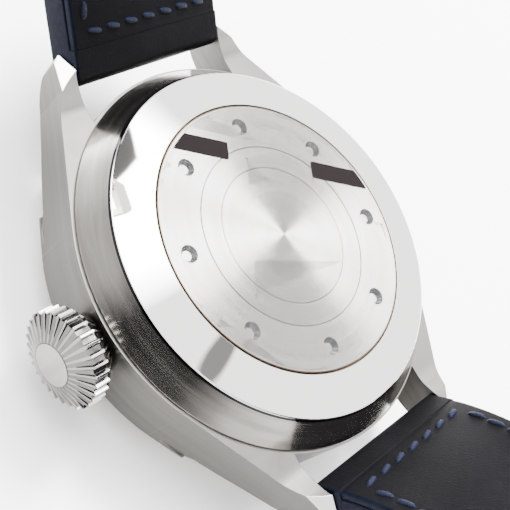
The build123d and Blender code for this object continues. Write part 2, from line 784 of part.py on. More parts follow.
with BuildPart() as crown_gasket:
    with BuildSketch(crown_plane(crown_foot + crown_gasket_inset)):
        Circle(tube_radius + running_gap + crown_gasket_wall - seat_gap)
        Circle(tube_radius + running_gap, mode=Mode.SUBTRACT)
    extrude(amount=crown_gasket_height)
save(crown_gasket, "crown_gasket")

with BuildPart() as crown_tube:
    with BuildSketch(crown_plane(case_radius - tube_inside)):
        Circle(tube_radius)
        Circle(tube_bore, mode=Mode.SUBTRACT)
    extrude(amount=tube_inside + tube_outside)
save(crown_tube, "crown_tube")

with BuildPart() as stem:
    with BuildSketch(crown_plane(stem_reach)):
        Circle(stem_radius)
    extrude(amount=crown_foot + crown_cavity_depth - stem_reach)
save(stem, "stem")


def stem_collar(start, length, radius):
    """Builds one of the toothed collars that the stem slides through."""
    with BuildPart() as piece:
        with BuildSketch(crown_plane(start - length)):
            Circle(radius)
            with PolarLocations(radius, collar_teeth):
                Rectangle(collar_tooth, collar_tooth, mode=Mode.SUBTRACT)
            Circle(stem_radius + running_gap, mode=Mode.SUBTRACT)
        extrude(amount=length)
    return piece


winding_pinion = stem_collar(keyless_start, pinion_length, pinion_radius)
save(winding_pinion, "winding_pinion")
clutch_wheel = stem_collar(keyless_start - pinion_length, clutch_length, clutch_radius)
save(clutch_wheel, "clutch_wheel")

# Strap: side outlines swept along each half's line, then tapered in front view
strap_width = lug_gap - strap_side_gap - strap_side_gap


def strap_point(lengths, headings, distance):
    """Point (y, z) and heading of a half's line that far along it, from the spring bar at 12 o'clock."""
    y = bar_reach
    z = bar_height
    heading = headings[0]
    if distance < 0:
        return y + distance * cos(radians(heading)), z + distance * sin(radians(heading)), heading
    for length, end_heading in zip(lengths, headings[1:]):
        step = min(distance, length)
        turned = heading + (end_heading - heading) * step / length
        bend = radians(turned - heading) / 2
        chord = step * sin(bend) / bend if bend else step
        y += chord * cos(radians(heading) + bend)
        z += chord * sin(radians(heading) + bend)
        heading = turned
        distance -= step
        if distance <= 0:
            break
    return y, z, heading


def strap_edge(lengths, headings, stations, wrist, inset):
    """Points of one face of a half: the wrist or dial side, moved towards the middle by inset."""
    near, far = -strap_dial_side, -strap_tail_dial_side
    if wrist:
        near, far = strap_wrist_side, strap_tail_wrist_side
    points = []
    for distance in stations:
        y, z, turned = strap_point(lengths, headings, distance)
        share = min(1, max(0, (distance - strap_pad_end) / (strap_thin_start - strap_pad_end)))
        offset = near + (far - near) * share - inset
        points.append((y - offset * sin(radians(turned)), z + offset * cos(radians(turned))))
    return points


def strap_half(lengths, headings, start, end, wrist_inset, lining):
    """Builds the body or the lining of a half as a tapered band between two stations."""
    count = int((end - start) // strap_station)
    stations = [start + (end - start) * step / count for step in range(count + 1)]
    upper = strap_edge(lengths, headings, stations, True, 0 if lining else wrist_inset)
    lower = strap_edge(lengths, headings, stations, lining, wrist_inset - glue_line if lining else 0)
    with BuildPart() as piece:
        with BuildSketch(Plane.YZ):
            with BuildLine():
                Spline(*upper)
                Line(upper[-1], lower[-1])
                Spline(*reversed(lower))
                Line(lower[0], upper[0])
            make_face()
        extrude(amount=strap_width / 2, both=True)
        with BuildSketch(Plane.XZ):
            half_start = strap_width / 2
            half_end = strap_end_width / 2
            section((-half_start, 0), (half_start, 0), (half_start, strap_taper_start),
                    (half_end, strap_taper_end), (half_end, strap_ceiling), (-half_end, strap_ceiling),
                    (-half_end, strap_taper_end), (-half_start, strap_taper_start))
        extrude(amount=-strap_ceiling, mode=Mode.INTERSECT)
        with BuildSketch(Plane.YZ):
            with Locations((bar_reach, bar_height)):
                Circle(bar_radius + running_gap)
        extrude(amount=strap_width, both=True, mode=Mode.SUBTRACT)
    return piece


buckle_half_length = sum(buckle_half_lengths)
hole_half_length = sum(hole_half_lengths)


def station_plane(lengths, headings, distance, across):
    """Plane on a half's line: square across it, or lying along it and facing the dial side."""
    y, z, turned = strap_point(lengths, headings, distance)
    along = Vector(0, cos(radians(turned)), sin(radians(turned)))
    if across:
        return Plane(origin=(0, y, z), x_dir=(1, 0, 0), z_dir=along)
    return Plane(origin=(0, y, z), x_dir=(-1, 0, 0), z_dir=Vector(-1, 0, 0).cross(along))


end_plane = station_plane(buckle_half_lengths, buckle_half_headings, buckle_half_length, False)


def buckle_half(start, lining):
    """Builds a layer of the buckle half, slotted for the tongue and bored for the buckle bar."""
    end = buckle_half_length + buckle_end_wall
    layer = strap_half(buckle_half_lengths, buckle_half_headings, start, end, lining_thickness, lining)
    with BuildPart() as piece:
        add(layer.part)
        with BuildSketch(end_plane):
            with Locations((0, buckle_end_wall)):
                Rectangle(buckle_slot_width, buckle_slot_length)
        extrude(amount=strap_wrist_side + strap_wrist_side, both=True, mode=Mode.SUBTRACT)
        with BuildSketch(Plane.YZ):
            with Locations((end_plane.origin.Y, end_plane.origin.Z)):
                Circle(buckle_bar_radius + running_gap)
        extrude(amount=strap_width, both=True, mode=Mode.SUBTRACT)
    return piece


strap_12 = buckle_half(-strap_nose, False)
save(strap_12, "strap_12")
strap_12_lining = buckle_half(lining_start, True)
save(strap_12_lining, "strap_12_lining")

tip_plane = station_plane(hole_half_lengths, hole_half_headings, hole_half_length, False)
hole_places = [(0, -strap_first_hole - strap_hole_pitch * index) for index in range(strap_hole_count)]


def hole_half(start, lining):
    """Builds a layer of the hole half with its pointed tip and buckle holes, on the 6 o'clock side."""
    layer = strap_half(hole_half_lengths, hole_half_headings, start, hole_half_length,
                       lining_thickness, lining)
    with BuildPart() as shaped:
        add(layer.part)
        with BuildSketch(tip_plane):
            half = strap_end_width / 2
            section((half + overrun, overrun), (tip_half_width, overrun), (tip_half_width, 0),
                    (half, -strap_point_length), (half + overrun, -strap_point_length))
            mirror(about=Plane.YZ)
            with Locations(hole_places):
                Circle(strap_hole_radius)
        extrude(amount=strap_wrist_side + strap_wrist_side, both=True, mode=Mode.SUBTRACT)
    with BuildPart() as piece:
        mirror(shaped.part, about=Plane.XZ)
    return piece


strap_6 = hole_half(-strap_nose, False)
save(strap_6, "strap_6")
strap_6_lining = hole_half(lining_start, True)
save(strap_6_lining, "strap_6_lining")

for side, label in ((1, "spring_bar_12"), (-1, "spring_bar_6")):
    with BuildPart() as spring_bar:
        with BuildSketch(Plane.YZ):
            with Locations((side * bar_reach, bar_height)):
                Circle(bar_radius)
        extrude(amount=lug_inner, both=True)
        with BuildSketch(Plane.YZ):
            with Locations((side * bar_reach, bar_height)):
                Circle(bar_pivot_radius)
        extrude(amount=lug_inner + bar_pivot_length, both=True)
    save(spring_bar, label)

# Buckle at the end of the 12 o'clock half, its frame flat to the strap's end
arm_inside = strap_end_width / 2 + buckle_side_gap
arm_outside = arm_inside + buckle_arm_width
with BuildPart() as buckle_frame:
    with BuildSketch(end_plane):
        with Locations((0, (buckle_length - buckle_heel) / 2)):
            RectangleRounded(arm_outside + arm_outside, buckle_length + buckle_heel,
                             buckle_corner - running_gap)
        with Locations((0, -overrun)):
            Rectangle(arm_inside + arm_inside, buckle_length - buckle_crossbar + buckle_heel + overrun,
                      align=(Align.CENTER, Align.MIN), mode=Mode.SUBTRACT)
        with Locations((0, -overrun)):
            Rectangle(arm_inside + arm_inside, buckle_heel + overrun,
                      align=(Align.CENTER, Align.MAX), mode=Mode.SUBTRACT)
    extrude(amount=buckle_thickness / 2, both=True)
    with BuildSketch(Plane.YZ):
        with Locations((end_plane.origin.Y, end_plane.origin.Z)):
            Circle(buckle_bar_radius)
    extrude(amount=arm_inside + buckle_bore_depth, both=True, mode=Mode.SUBTRACT)
save(buckle_frame, "buckle_frame")

with BuildPart() as buckle_bar:
    with BuildSketch(Plane.YZ):
        with Locations((end_plane.origin.Y, end_plane.origin.Z)):
            Circle(buckle_bar_radius - seat_gap)
    extrude(amount=arm_inside + buckle_bore_depth, both=True)
save(buckle_bar, "buckle_bar")

with BuildPart() as buckle_tongue:
    with BuildSketch(Plane.YZ):
        with Locations((end_plane.origin.Y, end_plane.origin.Z)):
            Circle(buckle_bar_radius + running_gap + tongue_ring_wall)
    extrude(amount=tongue_width / 2, both=True)
    with BuildSketch(end_plane.offset(buckle_thickness / 2 + seat_gap)):
        Rectangle(tongue_width, buckle_length + tongue_overhang, align=(Align.CENTER, Align.MIN))
    extrude(amount=tongue_thickness)
    with BuildSketch(Plane.YZ):
        with Locations((end_plane.origin.Y, end_plane.origin.Z)):
            Circle(buckle_bar_radius + running_gap)
    extrude(amount=tongue_width, both=True, mode=Mode.SUBTRACT)
save(buckle_tongue, "buckle_tongue")


def keeper(place, gap, label):
    """Builds a leather loop round the buckle half with room for the other half on the dial side."""
    with BuildPart() as loop:
        station = buckle_half_length - place
        with BuildSketch(station_plane(buckle_half_lengths, buckle_half_headings, station, True)):
            inside = strap_end_width / 2 + gap
            wrist_face = -strap_tail_wrist_side - gap
            dial_face = strap_tail_dial_side + keeper_room
            outside = inside + keeper_wall
            section((-outside, wrist_face - keeper_wall), (outside, wrist_face - keeper_wall),
                    (outside, dial_face + keeper_wall), (-outside, dial_face + keeper_wall))
            section((-inside, wrist_face), (inside, wrist_face), (inside, dial_face), (-inside, dial_face),
                    mode=Mode.SUBTRACT)
        extrude(amount=keeper_length / 2, both=True)
    save(loop, label)


keeper(fixed_keeper_place, seat_gap, "fixed_keeper")
keeper(free_keeper_place, keeper_gap, "free_keeper")
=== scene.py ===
"""Dresses the pilot's wristwatch: its finishes, the padded strap with its seams, the numbers and the light.

Everything is in metres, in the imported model's frame: the watch lies on its crystal, +Z leaves the case back,
+Y is 12 o'clock and -X is the crown's side. The classes that build shapes hold their sizes in millimetres.
"""

import logging
import math
from dataclasses import dataclass
from enum import Enum

import bmesh
import bpy
import numpy as np
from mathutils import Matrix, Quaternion, Vector

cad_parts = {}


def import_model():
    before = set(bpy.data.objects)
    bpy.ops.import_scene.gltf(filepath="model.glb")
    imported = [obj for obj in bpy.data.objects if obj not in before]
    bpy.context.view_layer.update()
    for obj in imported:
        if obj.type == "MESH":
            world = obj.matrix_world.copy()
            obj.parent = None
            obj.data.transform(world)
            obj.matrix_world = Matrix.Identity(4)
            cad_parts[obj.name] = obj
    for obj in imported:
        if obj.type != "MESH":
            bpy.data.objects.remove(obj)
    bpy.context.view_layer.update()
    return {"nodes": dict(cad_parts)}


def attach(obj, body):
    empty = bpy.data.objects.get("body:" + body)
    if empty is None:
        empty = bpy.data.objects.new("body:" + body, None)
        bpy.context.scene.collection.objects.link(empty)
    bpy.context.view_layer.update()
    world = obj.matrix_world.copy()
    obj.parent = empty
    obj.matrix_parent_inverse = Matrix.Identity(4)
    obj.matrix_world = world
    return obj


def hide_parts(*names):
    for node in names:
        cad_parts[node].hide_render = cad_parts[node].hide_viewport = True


Socket = bpy.types.NodeSocket
Value = float | tuple[float, ...] | Socket
Colour = tuple[float, float, float]
Span = tuple[float, float]
Triple = tuple[float, float, float]

MM = 0.001
LINE_BAND = (0.3, 0.7)
TONE_BAND = (0.35, 0.65)
LOG = logging.getLogger("wristwatch")


class Half(Enum):
    """The two halves of the strap, with the sign of the side that each leaves the case on."""

    BUCKLE = 1
    HOLES = -1


class Graph:
    """Builds nodes in a material's or a world's node tree."""

    def __init__(self, tree: bpy.types.NodeTree, coordinate: str) -> None:
        """Starts from a tree.

        Args:
            tree: The node tree.
            coordinate: The texture coordinate that stands for the place.
        """
        self.nodes = tree.nodes
        self.links = tree.links
        self.place = self.nodes.new("ShaderNodeTexCoord").outputs[coordinate]

    def fill(self, socket: Socket, value: Value) -> None:
        """Gives a socket either a value or a link.

        Args:
            socket: The input to fill.
            value: A number, a colour or another node's output.
        """
        if isinstance(value, Socket):
            self.links.new(value, socket)
        elif isinstance(value, (tuple, list)) and socket.type == "RGBA" and len(value) == 3:
            socket.default_value = (*value, 1.0)
        else:
            socket.default_value = value

    def reckon(self, operation: str, first: Value, second: Value = 0.0) -> Socket:
        """Adds a Math node.

        Args:
            operation: The node's operation.
            first: Its first input.
            second: Its second input.

        Returns:
            The node's output.
        """
        node = self.nodes.new("ShaderNodeMath")
        node.operation = operation
        self.fill(node.inputs[0], first)
        self.fill(node.inputs[1], second)
        return node.outputs[0]

    def chain(self, operation: str, values: tuple[Value, ...]) -> Socket:
        """Joins values from left to right by one operation.

        Args:
            operation: The Math nodes' operation.
            values: Two or more inputs.

        Returns:
            The last node's output.
        """
        result = values[0]
        for value in values[1:]:
            result = self.reckon(operation, result, value)
        return result

    def times(self, *factors: Value) -> Socket:
        """Multiplies values."""
        return self.chain("MULTIPLY", factors)

    def plus(self, *terms: Value) -> Socket:
        """Adds values."""
        return self.chain("ADD", terms)

    def minus(self, first: Value, second: Value) -> Socket:
        """Takes the second value from the first."""
        return self.reckon("SUBTRACT", first, second)

    def unsigned(self, value: Value) -> Socket:
        """A value without its sign."""
        return self.reckon("ABSOLUTE", value)

    def length(self, x: Value, y: Value) -> Socket:
        """Length of (x, y): the root of x times x plus y times y."""
        return self.reckon("SQRT", self.plus(self.times(x, x), self.times(y, y)))

    def parts(self, vector: Socket | None = None) -> tuple[Socket, ...]:
        """Splits a vector into X, Y and Z.

        Args:
            vector: The vector, or None for the place.

        Returns:
            The three outputs.
        """
        node = self.nodes.new("ShaderNodeSeparateXYZ")
        self.links.new(vector or self.place, node.inputs[0])
        return tuple(node.outputs)

    def join(self, x: Value, y: Value, z: Value) -> Socket:
        """Joins three values into a vector.

        Args:
            x: Its X.
            y: Its Y.
            z: Its Z.

        Returns:
            The vector.
        """
        node = self.nodes.new("ShaderNodeCombineXYZ")
        for socket, value in zip(node.inputs, (x, y, z)):
            self.fill(socket, value)
        return node.outputs[0]

    def facing(self) -> tuple[Socket, ...]:
        """X, Y and Z of the surface's own direction on the object."""
        return self.parts(self.place.node.outputs["Normal"])

    def toward(self, direction: Triple) -> Socket:
        """How far the place lies along a direction: the sum of each coordinate times the direction's own."""
        return self.plus(*(self.times(part, share) for part, share in zip(self.parts(), direction)))

    def stretched(self, scale: Triple) -> Socket:
        """Scales the place on the object.

        Args:
            scale: The factor along each axis.

        Returns:
            The scaled place.
        """
        node = self.nodes.new("ShaderNodeMapping")
        self.links.new(self.place, node.inputs["Vector"])
        node.inputs["Scale"].default_value = scale
        return node.outputs[0]

    def radius(self) -> Socket:
        """Distance from the case axis."""
        return self.length(*self.parts()[:2])

    def rings(self, per_metre: float, around: float) -> Socket:
        """Place in rings round the case axis, for marks left by turning.

        It is (radius, angle, z), each times its rate.

        Args:
            per_metre: How fast the pattern changes outwards and along the axis.
            around: How fast it changes along a ring, per radian.

        Returns:
            A vector for a texture.
        """
        x, y, z = self.parts()
        angle = self.reckon("ARCTAN2", y, x)
        return self.join(self.times(self.radius(), per_metre), self.times(angle, around),
                         self.times(z, per_metre))

    def noise(self, vector: Socket, scale: float = 1.0, detail: float = 3.0, rough: float = 0.55) -> Socket:
        """Adds a noise texture.

        Args:
            vector: Its place.
            scale: Its scale.
            detail: Its number of finer layers.
            rough: How much each finer layer counts.

        Returns:
            Its value, from 0 to 1.
        """
        node = self.nodes.new("ShaderNodeTexNoise")
        self.links.new(vector, node.inputs["Vector"])
        node.inputs["Scale"].default_value = scale
        node.inputs["Detail"].default_value = detail
        node.inputs["Roughness"].default_value = rough
        return node.outputs["Fac"]

    def scratches(self, vector: Socket) -> Socket:
        """Noise whose finer layers are strong, for brush lines and turning marks."""
        return self.noise(vector, rough=0.7)

    def cells(self, vector: Socket, scale: float) -> Socket:
        """Adds a Voronoi texture.

        Args:
            vector: Its place.
            scale: Its scale.

        Returns:
            The distance to the nearest cell's edge.
        """
        node = self.nodes.new("ShaderNodeTexVoronoi")
        node.feature = "DISTANCE_TO_EDGE"
        self.links.new(vector, node.inputs["Vector"])
        node.inputs["Scale"].default_value = scale
        return node.outputs["Distance"]

    def span(self, value: Value, low: float, high: float, start: float = 0.0, end: float = 1.0) -> Socket:
        """Maps low..high evenly to start..end and keeps the result between them.

        Args:
            value: The value.
            low: Where the result starts to change.
            high: Where it stops.
            start: The result up to low.
            end: The result from high on.

        Returns:
            The mapped value.
        """
        node = self.nodes.new("ShaderNodeMapRange")
        self.fill(node.inputs["Value"], value)
        for name, number in (("From Min", low), ("From Max", high), ("To Min", start), ("To Max", end)):
            node.inputs[name].default_value = number
        return node.outputs[0]

    def fall(self, value: Value, low: float, high: float) -> Socket:
        """Mask that is 1 up to low and fades to 0 at high."""
        return self.span(value, low, high, 1.0, 0.0)

    def between(self, value: Value, low: float, high: float, soft: float) -> Socket:
        """Mask that is 1 from low to high and fades over soft at both ends."""
        return self.times(self.span(value, low - soft, low + soft),
                          self.fall(value, high - soft, high + soft))

    def mix(self, factor: Value, first: Value, second: Value) -> Socket:
        """Mixes two colours.

        Args:
            factor: Share of the second.
            first: The first colour.
            second: The second colour.

        Returns:
            The mixed colour.
        """
        node = self.nodes.new("ShaderNodeMix")
        node.data_type = "RGBA"
        self.fill(node.inputs["Factor"], factor)
        self.fill(node.inputs[6], first)
        self.fill(node.inputs[7], second)
        return node.outputs[2]

    def blend(self, factor: Value, first: Value, second: Value) -> Socket:
        """Mixes two numbers.

        Args:
            factor: Share of the second.
            first: The first number.
            second: The second number.

        Returns:
            The mixed number.
        """
        node = self.nodes.new("ShaderNodeMix")
        self.fill(node.inputs["Factor"], factor)
        self.fill(node.inputs[2], first)
        self.fill(node.inputs[3], second)
        return node.outputs[0]


class Tree(Graph):
    """Builds one material round a Principled shader."""

    def __init__(self, name: str) -> None:
        """Starts an empty material.

        Args:
            name: The material's name.
        """
        self.material = bpy.data.materials.new(name)
        self.material.use_nodes = True
        super().__init__(self.material.node_tree, "Object")
        self.shader = self.nodes["Principled BSDF"]

    def set(self, **inputs: Value) -> None:
        """Fills inputs of the shader, named with underscores for spaces.

        Args:
            inputs: Values or outputs for the shader's sockets.
        """
        for name, value in inputs.items():
            self.fill(self.shader.inputs[name.replace("_", " ")], value)

    def bump(self, height: Socket, depth: float, strength: float = 1.0, soften: float = 0.0) -> None:
        """Roughens the surface with a height.

        Args:
            height: The height, from 0 to 1.
            depth: What a height of 1 stands for, in metres.
            strength: Share of the effect.
            soften: Radius in metres over which sharp edges catch the light, or 0.
        """
        node = self.nodes.new("ShaderNodeBump")
        node.inputs["Strength"].default_value = strength
        node.inputs["Distance"].default_value = depth
        self.links.new(height, node.inputs["Height"])
        self.links.new(node.outputs[0], self.shader.inputs["Normal"])
        if soften:
            edge = self.nodes.new("ShaderNodeBevel")
            edge.samples = 4
            edge.inputs["Radius"].default_value = soften
            self.links.new(edge.outputs[0], node.inputs["Normal"])

    def radial_tangent(self) -> None:
        """Stretches the shader's highlight across the rings, along (x, y, 0) of the piece."""
        x, y, _ = self.parts()
        node = self.nodes.new("ShaderNodeVectorTransform")
        node.vector_type = "VECTOR"
        node.convert_from = "OBJECT"
        node.convert_to = "WORLD"
        self.links.new(self.join(x, y, 0.0), node.inputs[0])
        self.links.new(node.outputs[0], self.shader.inputs["Tangent"])


def shaded(colour: Colour, share: float) -> Colour:
    """A colour with every channel times a share."""
    return tuple(channel * share for channel in colour)


@dataclass(frozen=True)
class Finish:
    """A finish with a colour and a roughness, broken up by faint handling marks."""

    name: str
    colour: Colour
    roughness: float
    metallic: float = 0.0
    marks: float = 0.03
    mark_scale: float = 400.0
    gloss: float = 0.5
    speck_scale: float = 2400.0
    speck_depth: float = 0.002 * MM
    relief: float = 0.3

    def material(self) -> bpy.types.Material:
        """Builds the finish's material.

        Returns:
            The material.
        """
        tree = Tree(self.name)
        tree.set(Base_Color=self.colour, Metallic=self.metallic, Specular_IOR_Level=self.gloss)
        cloud = tree.noise(tree.place, self.mark_scale, detail=4.0)
        tree.set(Roughness=tree.span(cloud, *LINE_BAND, self.roughness, self.roughness + self.marks))
        self.dress(tree)
        return tree.material

    def dress(self, tree: Tree) -> None:
        """Adds what sets this finish apart from its base."""
        tree.bump(tree.noise(tree.place, self.speck_scale, detail=2.0), self.speck_depth, self.relief)

    def toned(self, tree: Tree, tone: Socket, colour: Colour, share: float) -> Socket:
        """Mixes a colour times a share with the colour itself by a noise."""
        return tree.mix(tree.span(tone, *TONE_BAND), shaded(colour, share), colour)

    def uneven(self, tree: Tree, lines: Socket, roughness: float, change: Span) -> Socket:
        """Roughness that goes by a noise from the first change of its value to the second."""
        return tree.span(lines, *LINE_BAND, roughness + change[0], roughness + change[1])


@dataclass(frozen=True)
class SatinSteel(Finish):
    """Steel with fine straight brush lines."""

    lines: Triple = (300.0, 300.0, 14000.0)
    tone_divisor: float = 12.0
    dark_share: float = 0.82
    line_change: Span = (-0.04, 0.06)
    line_depth: float = 0.006 * MM
    soften: float = 0.10 * MM
    relief: float = 0.6

    def brush(self, tree: Tree) -> tuple[Socket, Socket]:
        """Makes the noises of the brushed surface.

        Args:
            tree: The material.

        Returns:
            The brush lines and the broader tone along them.
        """
        lines = tree.scratches(tree.stretched(self.lines))
        broad = tuple(line / self.tone_divisor for line in self.lines)
        return lines, tree.noise(tree.stretched(broad), detail=2.0)

    def dress(self, tree: Tree) -> None:
        """Adds the brush lines and the uneven tone along them.

        Args:
            tree: The material.
        """
        lines, tone = self.brush(tree)
        tree.set(Base_Color=self.toned(tree, tone, self.colour, self.dark_share),
                 Roughness=self.uneven(tree, lines, self.roughness, self.line_change))
        tree.bump(lines, self.line_depth, self.relief, self.soften)


@dataclass(frozen=True, kw_only=True)
class CaseSteel(SatinSteel):
    """The case's satin steel: painted shade on steep faces, a painted strap reflection at 6, polished facets.
    """

    facet: tuple[float, float, float, float]
    facet_edge: Span = (0.01 * MM, 0.03 * MM)
    facet_colour: Colour = (0.90, 0.89, 0.87)
    facet_roughness: float = 0.07
    # Painted shade on the steep side faces: its colour, its darker tone and the tilt that counts as steep.
    upright_shade: Colour = (0.088, 0.0845, 0.078)
    upright_dark_share: float = 0.8
    upright_tilt: Span = (0.30, 0.62)
    # The painted shade is weaker on the inner faces of the lugs at 12 o'clock.
    lug_face: Span = (11.05 * MM, 11.10 * MM)
    lug_face_turn: Span = (0.85, 0.95)
    lug_face_start: Span = (0.0, 1.0 * MM)
    lug_face_share: float = 0.45
    # Painted dark reflection of the strap on the case's wall between the lugs at 6 o'clock.
    wall_radius: Span = (23.2 * MM, 23.3 * MM)
    wall_start: Span = (-18.0 * MM, -17.0 * MM)
    wall_side: Span = (-10.0 * MM, 5.0 * MM)
    wall_share: float = 0.85
    painted_strap_reflection: Colour = (0.012, 0.012, 0.014)

    def dress(self, tree: Tree) -> None:
        """Adds the brush lines, the painted shade on steep faces, the painted strap reflection and the facets.

        Args:
            tree: The material.
        """
        lines, tone = self.brush(tree)
        upright_shade = self.on_shaded_upright(tree)
        # Painted shade on the steep side faces.
        colour = tree.mix(upright_shade, self.toned(tree, tone, self.colour, self.dark_share),
                          self.toned(tree, tone, self.upright_shade, self.upright_dark_share))
        # Painted dark reflection of the strap on the wall at 6.
        colour = tree.mix(tree.times(upright_shade, self.on_strap_reflection_wall(tree)), colour, self.painted_strap_reflection)
        polished = self.on_facet(tree)
        rough = self.uneven(tree, lines, self.roughness, self.line_change)
        tree.set(Base_Color=tree.mix(polished, colour, self.facet_colour),
                 Roughness=tree.blend(polished, rough, self.facet_roughness))
        tree.bump(tree.times(lines, tree.minus(1.0, polished)), self.line_depth, self.relief, self.soften)

    def on_shaded_upright(self, tree: Tree) -> Socket:
        """Mask of the painted shade on steep faces, weaker on the inner faces of the lugs at 12 o'clock.

        Args:
            tree: The material.

        Returns:
            The mask.
        """
        turned_x, _, turned_z = tree.facing()
        x, y, _ = tree.parts()
        inner = tree.times(tree.fall(tree.unsigned(x), *self.lug_face),
                           tree.span(tree.unsigned(turned_x), *self.lug_face_turn),
                           tree.span(y, *self.lug_face_start))
        steep = tree.fall(tree.unsigned(turned_z), *self.upright_tilt)
        return tree.times(steep, tree.minus(1.0, tree.times(inner, self.lug_face_share)))

    def on_strap_reflection_wall(self, tree: Tree) -> Socket:
        """Mask of the painted strap reflection on the wall between the lugs at 6, fading towards the crown's
        far side.

        Args:
            tree: The material.

        Returns:
            The mask.
        """
        x, y, _ = tree.parts()
        return tree.times(tree.fall(tree.radius(), *self.wall_radius), tree.fall(y, *self.wall_start),
                          tree.span(x, *self.wall_side, self.wall_share, 0.0))

    def on_facet(self, tree: Tree) -> Socket:
        """Mask of the four facets: |normal . (|x|, |y|, z) - distance| is nearly 0 there.

        Args:
            tree: The material.

        Returns:
            The mask.
        """
        x, y, z = tree.parts()
        normal_x, normal_y, normal_z, distance = self.facet
        total = tree.plus(tree.times(tree.unsigned(x), normal_x), tree.times(tree.unsigned(y), normal_y),
                          tree.times(z, normal_z))
        return tree.fall(tree.unsigned(tree.minus(total, distance)), *self.facet_edge)


@dataclass(frozen=True)
class TurnedSteel(Finish):
    """Steel turned in rings round the case axis, whose highlight fans out from the middle."""

    fan: float = 0.75
    ring_rate: float = 9000.0
    ring_drift: float = 0.3
    ring_depth: float = 0.004 * MM
    ring_change: Span = (-0.03, 0.06)
    groove_divisor: float = 3.0
    tone_divisor: float = 14.0
    tone_drift: float = 0.7
    dark_share: float = 0.85
    relief: float = 0.6

    def dress(self, tree: Tree) -> None:
        """Adds the rings and turns the highlight across them.

        Args:
            tree: The material.
        """
        rings = tree.scratches(tree.rings(self.ring_rate, self.ring_drift))
        tree.set(Base_Color=self.tint(tree), Anisotropic=self.fan,
                 Roughness=self.uneven(tree, rings, self.roughness, self.ring_change))
        grooves = tree.noise(tree.rings(self.ring_rate / self.groove_divisor, self.ring_drift), detail=1.0)
        tree.bump(grooves, self.ring_depth, self.relief)
        tree.radial_tangent()

    def tint(self, tree: Tree) -> Socket:
        """The colour, uneven from ring to ring."""
        tone = tree.noise(tree.rings(self.ring_rate / self.tone_divisor, self.tone_drift), detail=2.0)
        return self.toned(tree, tone, self.colour, self.dark_share)


@dataclass(frozen=True)
class BackSteel(TurnedSteel):
    """The case back's turned steel with two engraved circles, painted shade in its dished recesses and a
    stained rim.
    """

    circles: tuple[float, ...] = (8.02 * MM, 10.58 * MM)
    circle_reach: float = 0.07 * MM
    circle_soft: float = 0.02 * MM
    circle_share: float = 0.35
    # Painted shade in the dished recesses, darker still on one side.
    recess_tilt: Span = (0.985, 0.998)
    recess_shade_share: float = 0.4
    recess_shade_colour: Colour = (0.25, 0.25, 0.25)
    shade_side: Span = (-0.95, -0.30)
    shade_turn: Span = (-0.04, 0.14)
    shade_colour: Colour = (0.13, 0.13, 0.135)
    rim_radius: float = 15.60 * MM
    rim_soft: float = 0.03 * MM
    rim_colour: Colour = (0.19, 0.135, 0.10)

    def tint(self, tree: Tree) -> Socket:
        """Adds the circles, the painted shade in the recesses, darker on one side, and the rim to the rings'
        colour.

        Args:
            tree: The material.

        Returns:
            The colour.
        """
        colour = super().tint(tree)
        for circle in self.circles:
            inside = tree.between(tree.radius(), circle - self.circle_reach, circle + self.circle_reach,
                                  self.circle_soft)
            colour = tree.mix(inside, colour, shaded(self.colour, self.circle_share))
        turned_x, turned_y, turned_z = tree.facing()
        dished = tree.fall(turned_z, *self.recess_tilt)
        away = tree.plus(tree.times(turned_x, self.shade_side[0]), tree.times(turned_y, self.shade_side[1]))
        # Painted shade in the recesses, and more of it on one side.
        colour = tree.mix(tree.times(dished, self.recess_shade_share), colour, self.recess_shade_colour)
        colour = tree.mix(tree.times(tree.span(away, *self.shade_turn), dished), colour, self.shade_colour)
        rim = tree.span(tree.radius(), self.rim_radius, self.rim_radius + self.rim_soft)
        return tree.mix(rim, colour, self.rim_colour)


@dataclass(frozen=True)
class TrackPaint(Finish):
    """Black dial paint whose raised marks are luminous."""

    marks_below: float = 4.695 * MM
    soft: float = 0.002 * MM
    glow: Colour = (0.80, 0.84, 0.72)

    def dress(self, tree: Tree) -> None:
        """Tells the raised marks from the ring by their height.

        Args:
            tree: The material.
        """
        _, _, z = tree.parts()
        raised = tree.fall(z, self.marks_below - self.soft, self.marks_below + self.soft)
        tree.set(Base_Color=tree.mix(raised, self.colour, self.glow))


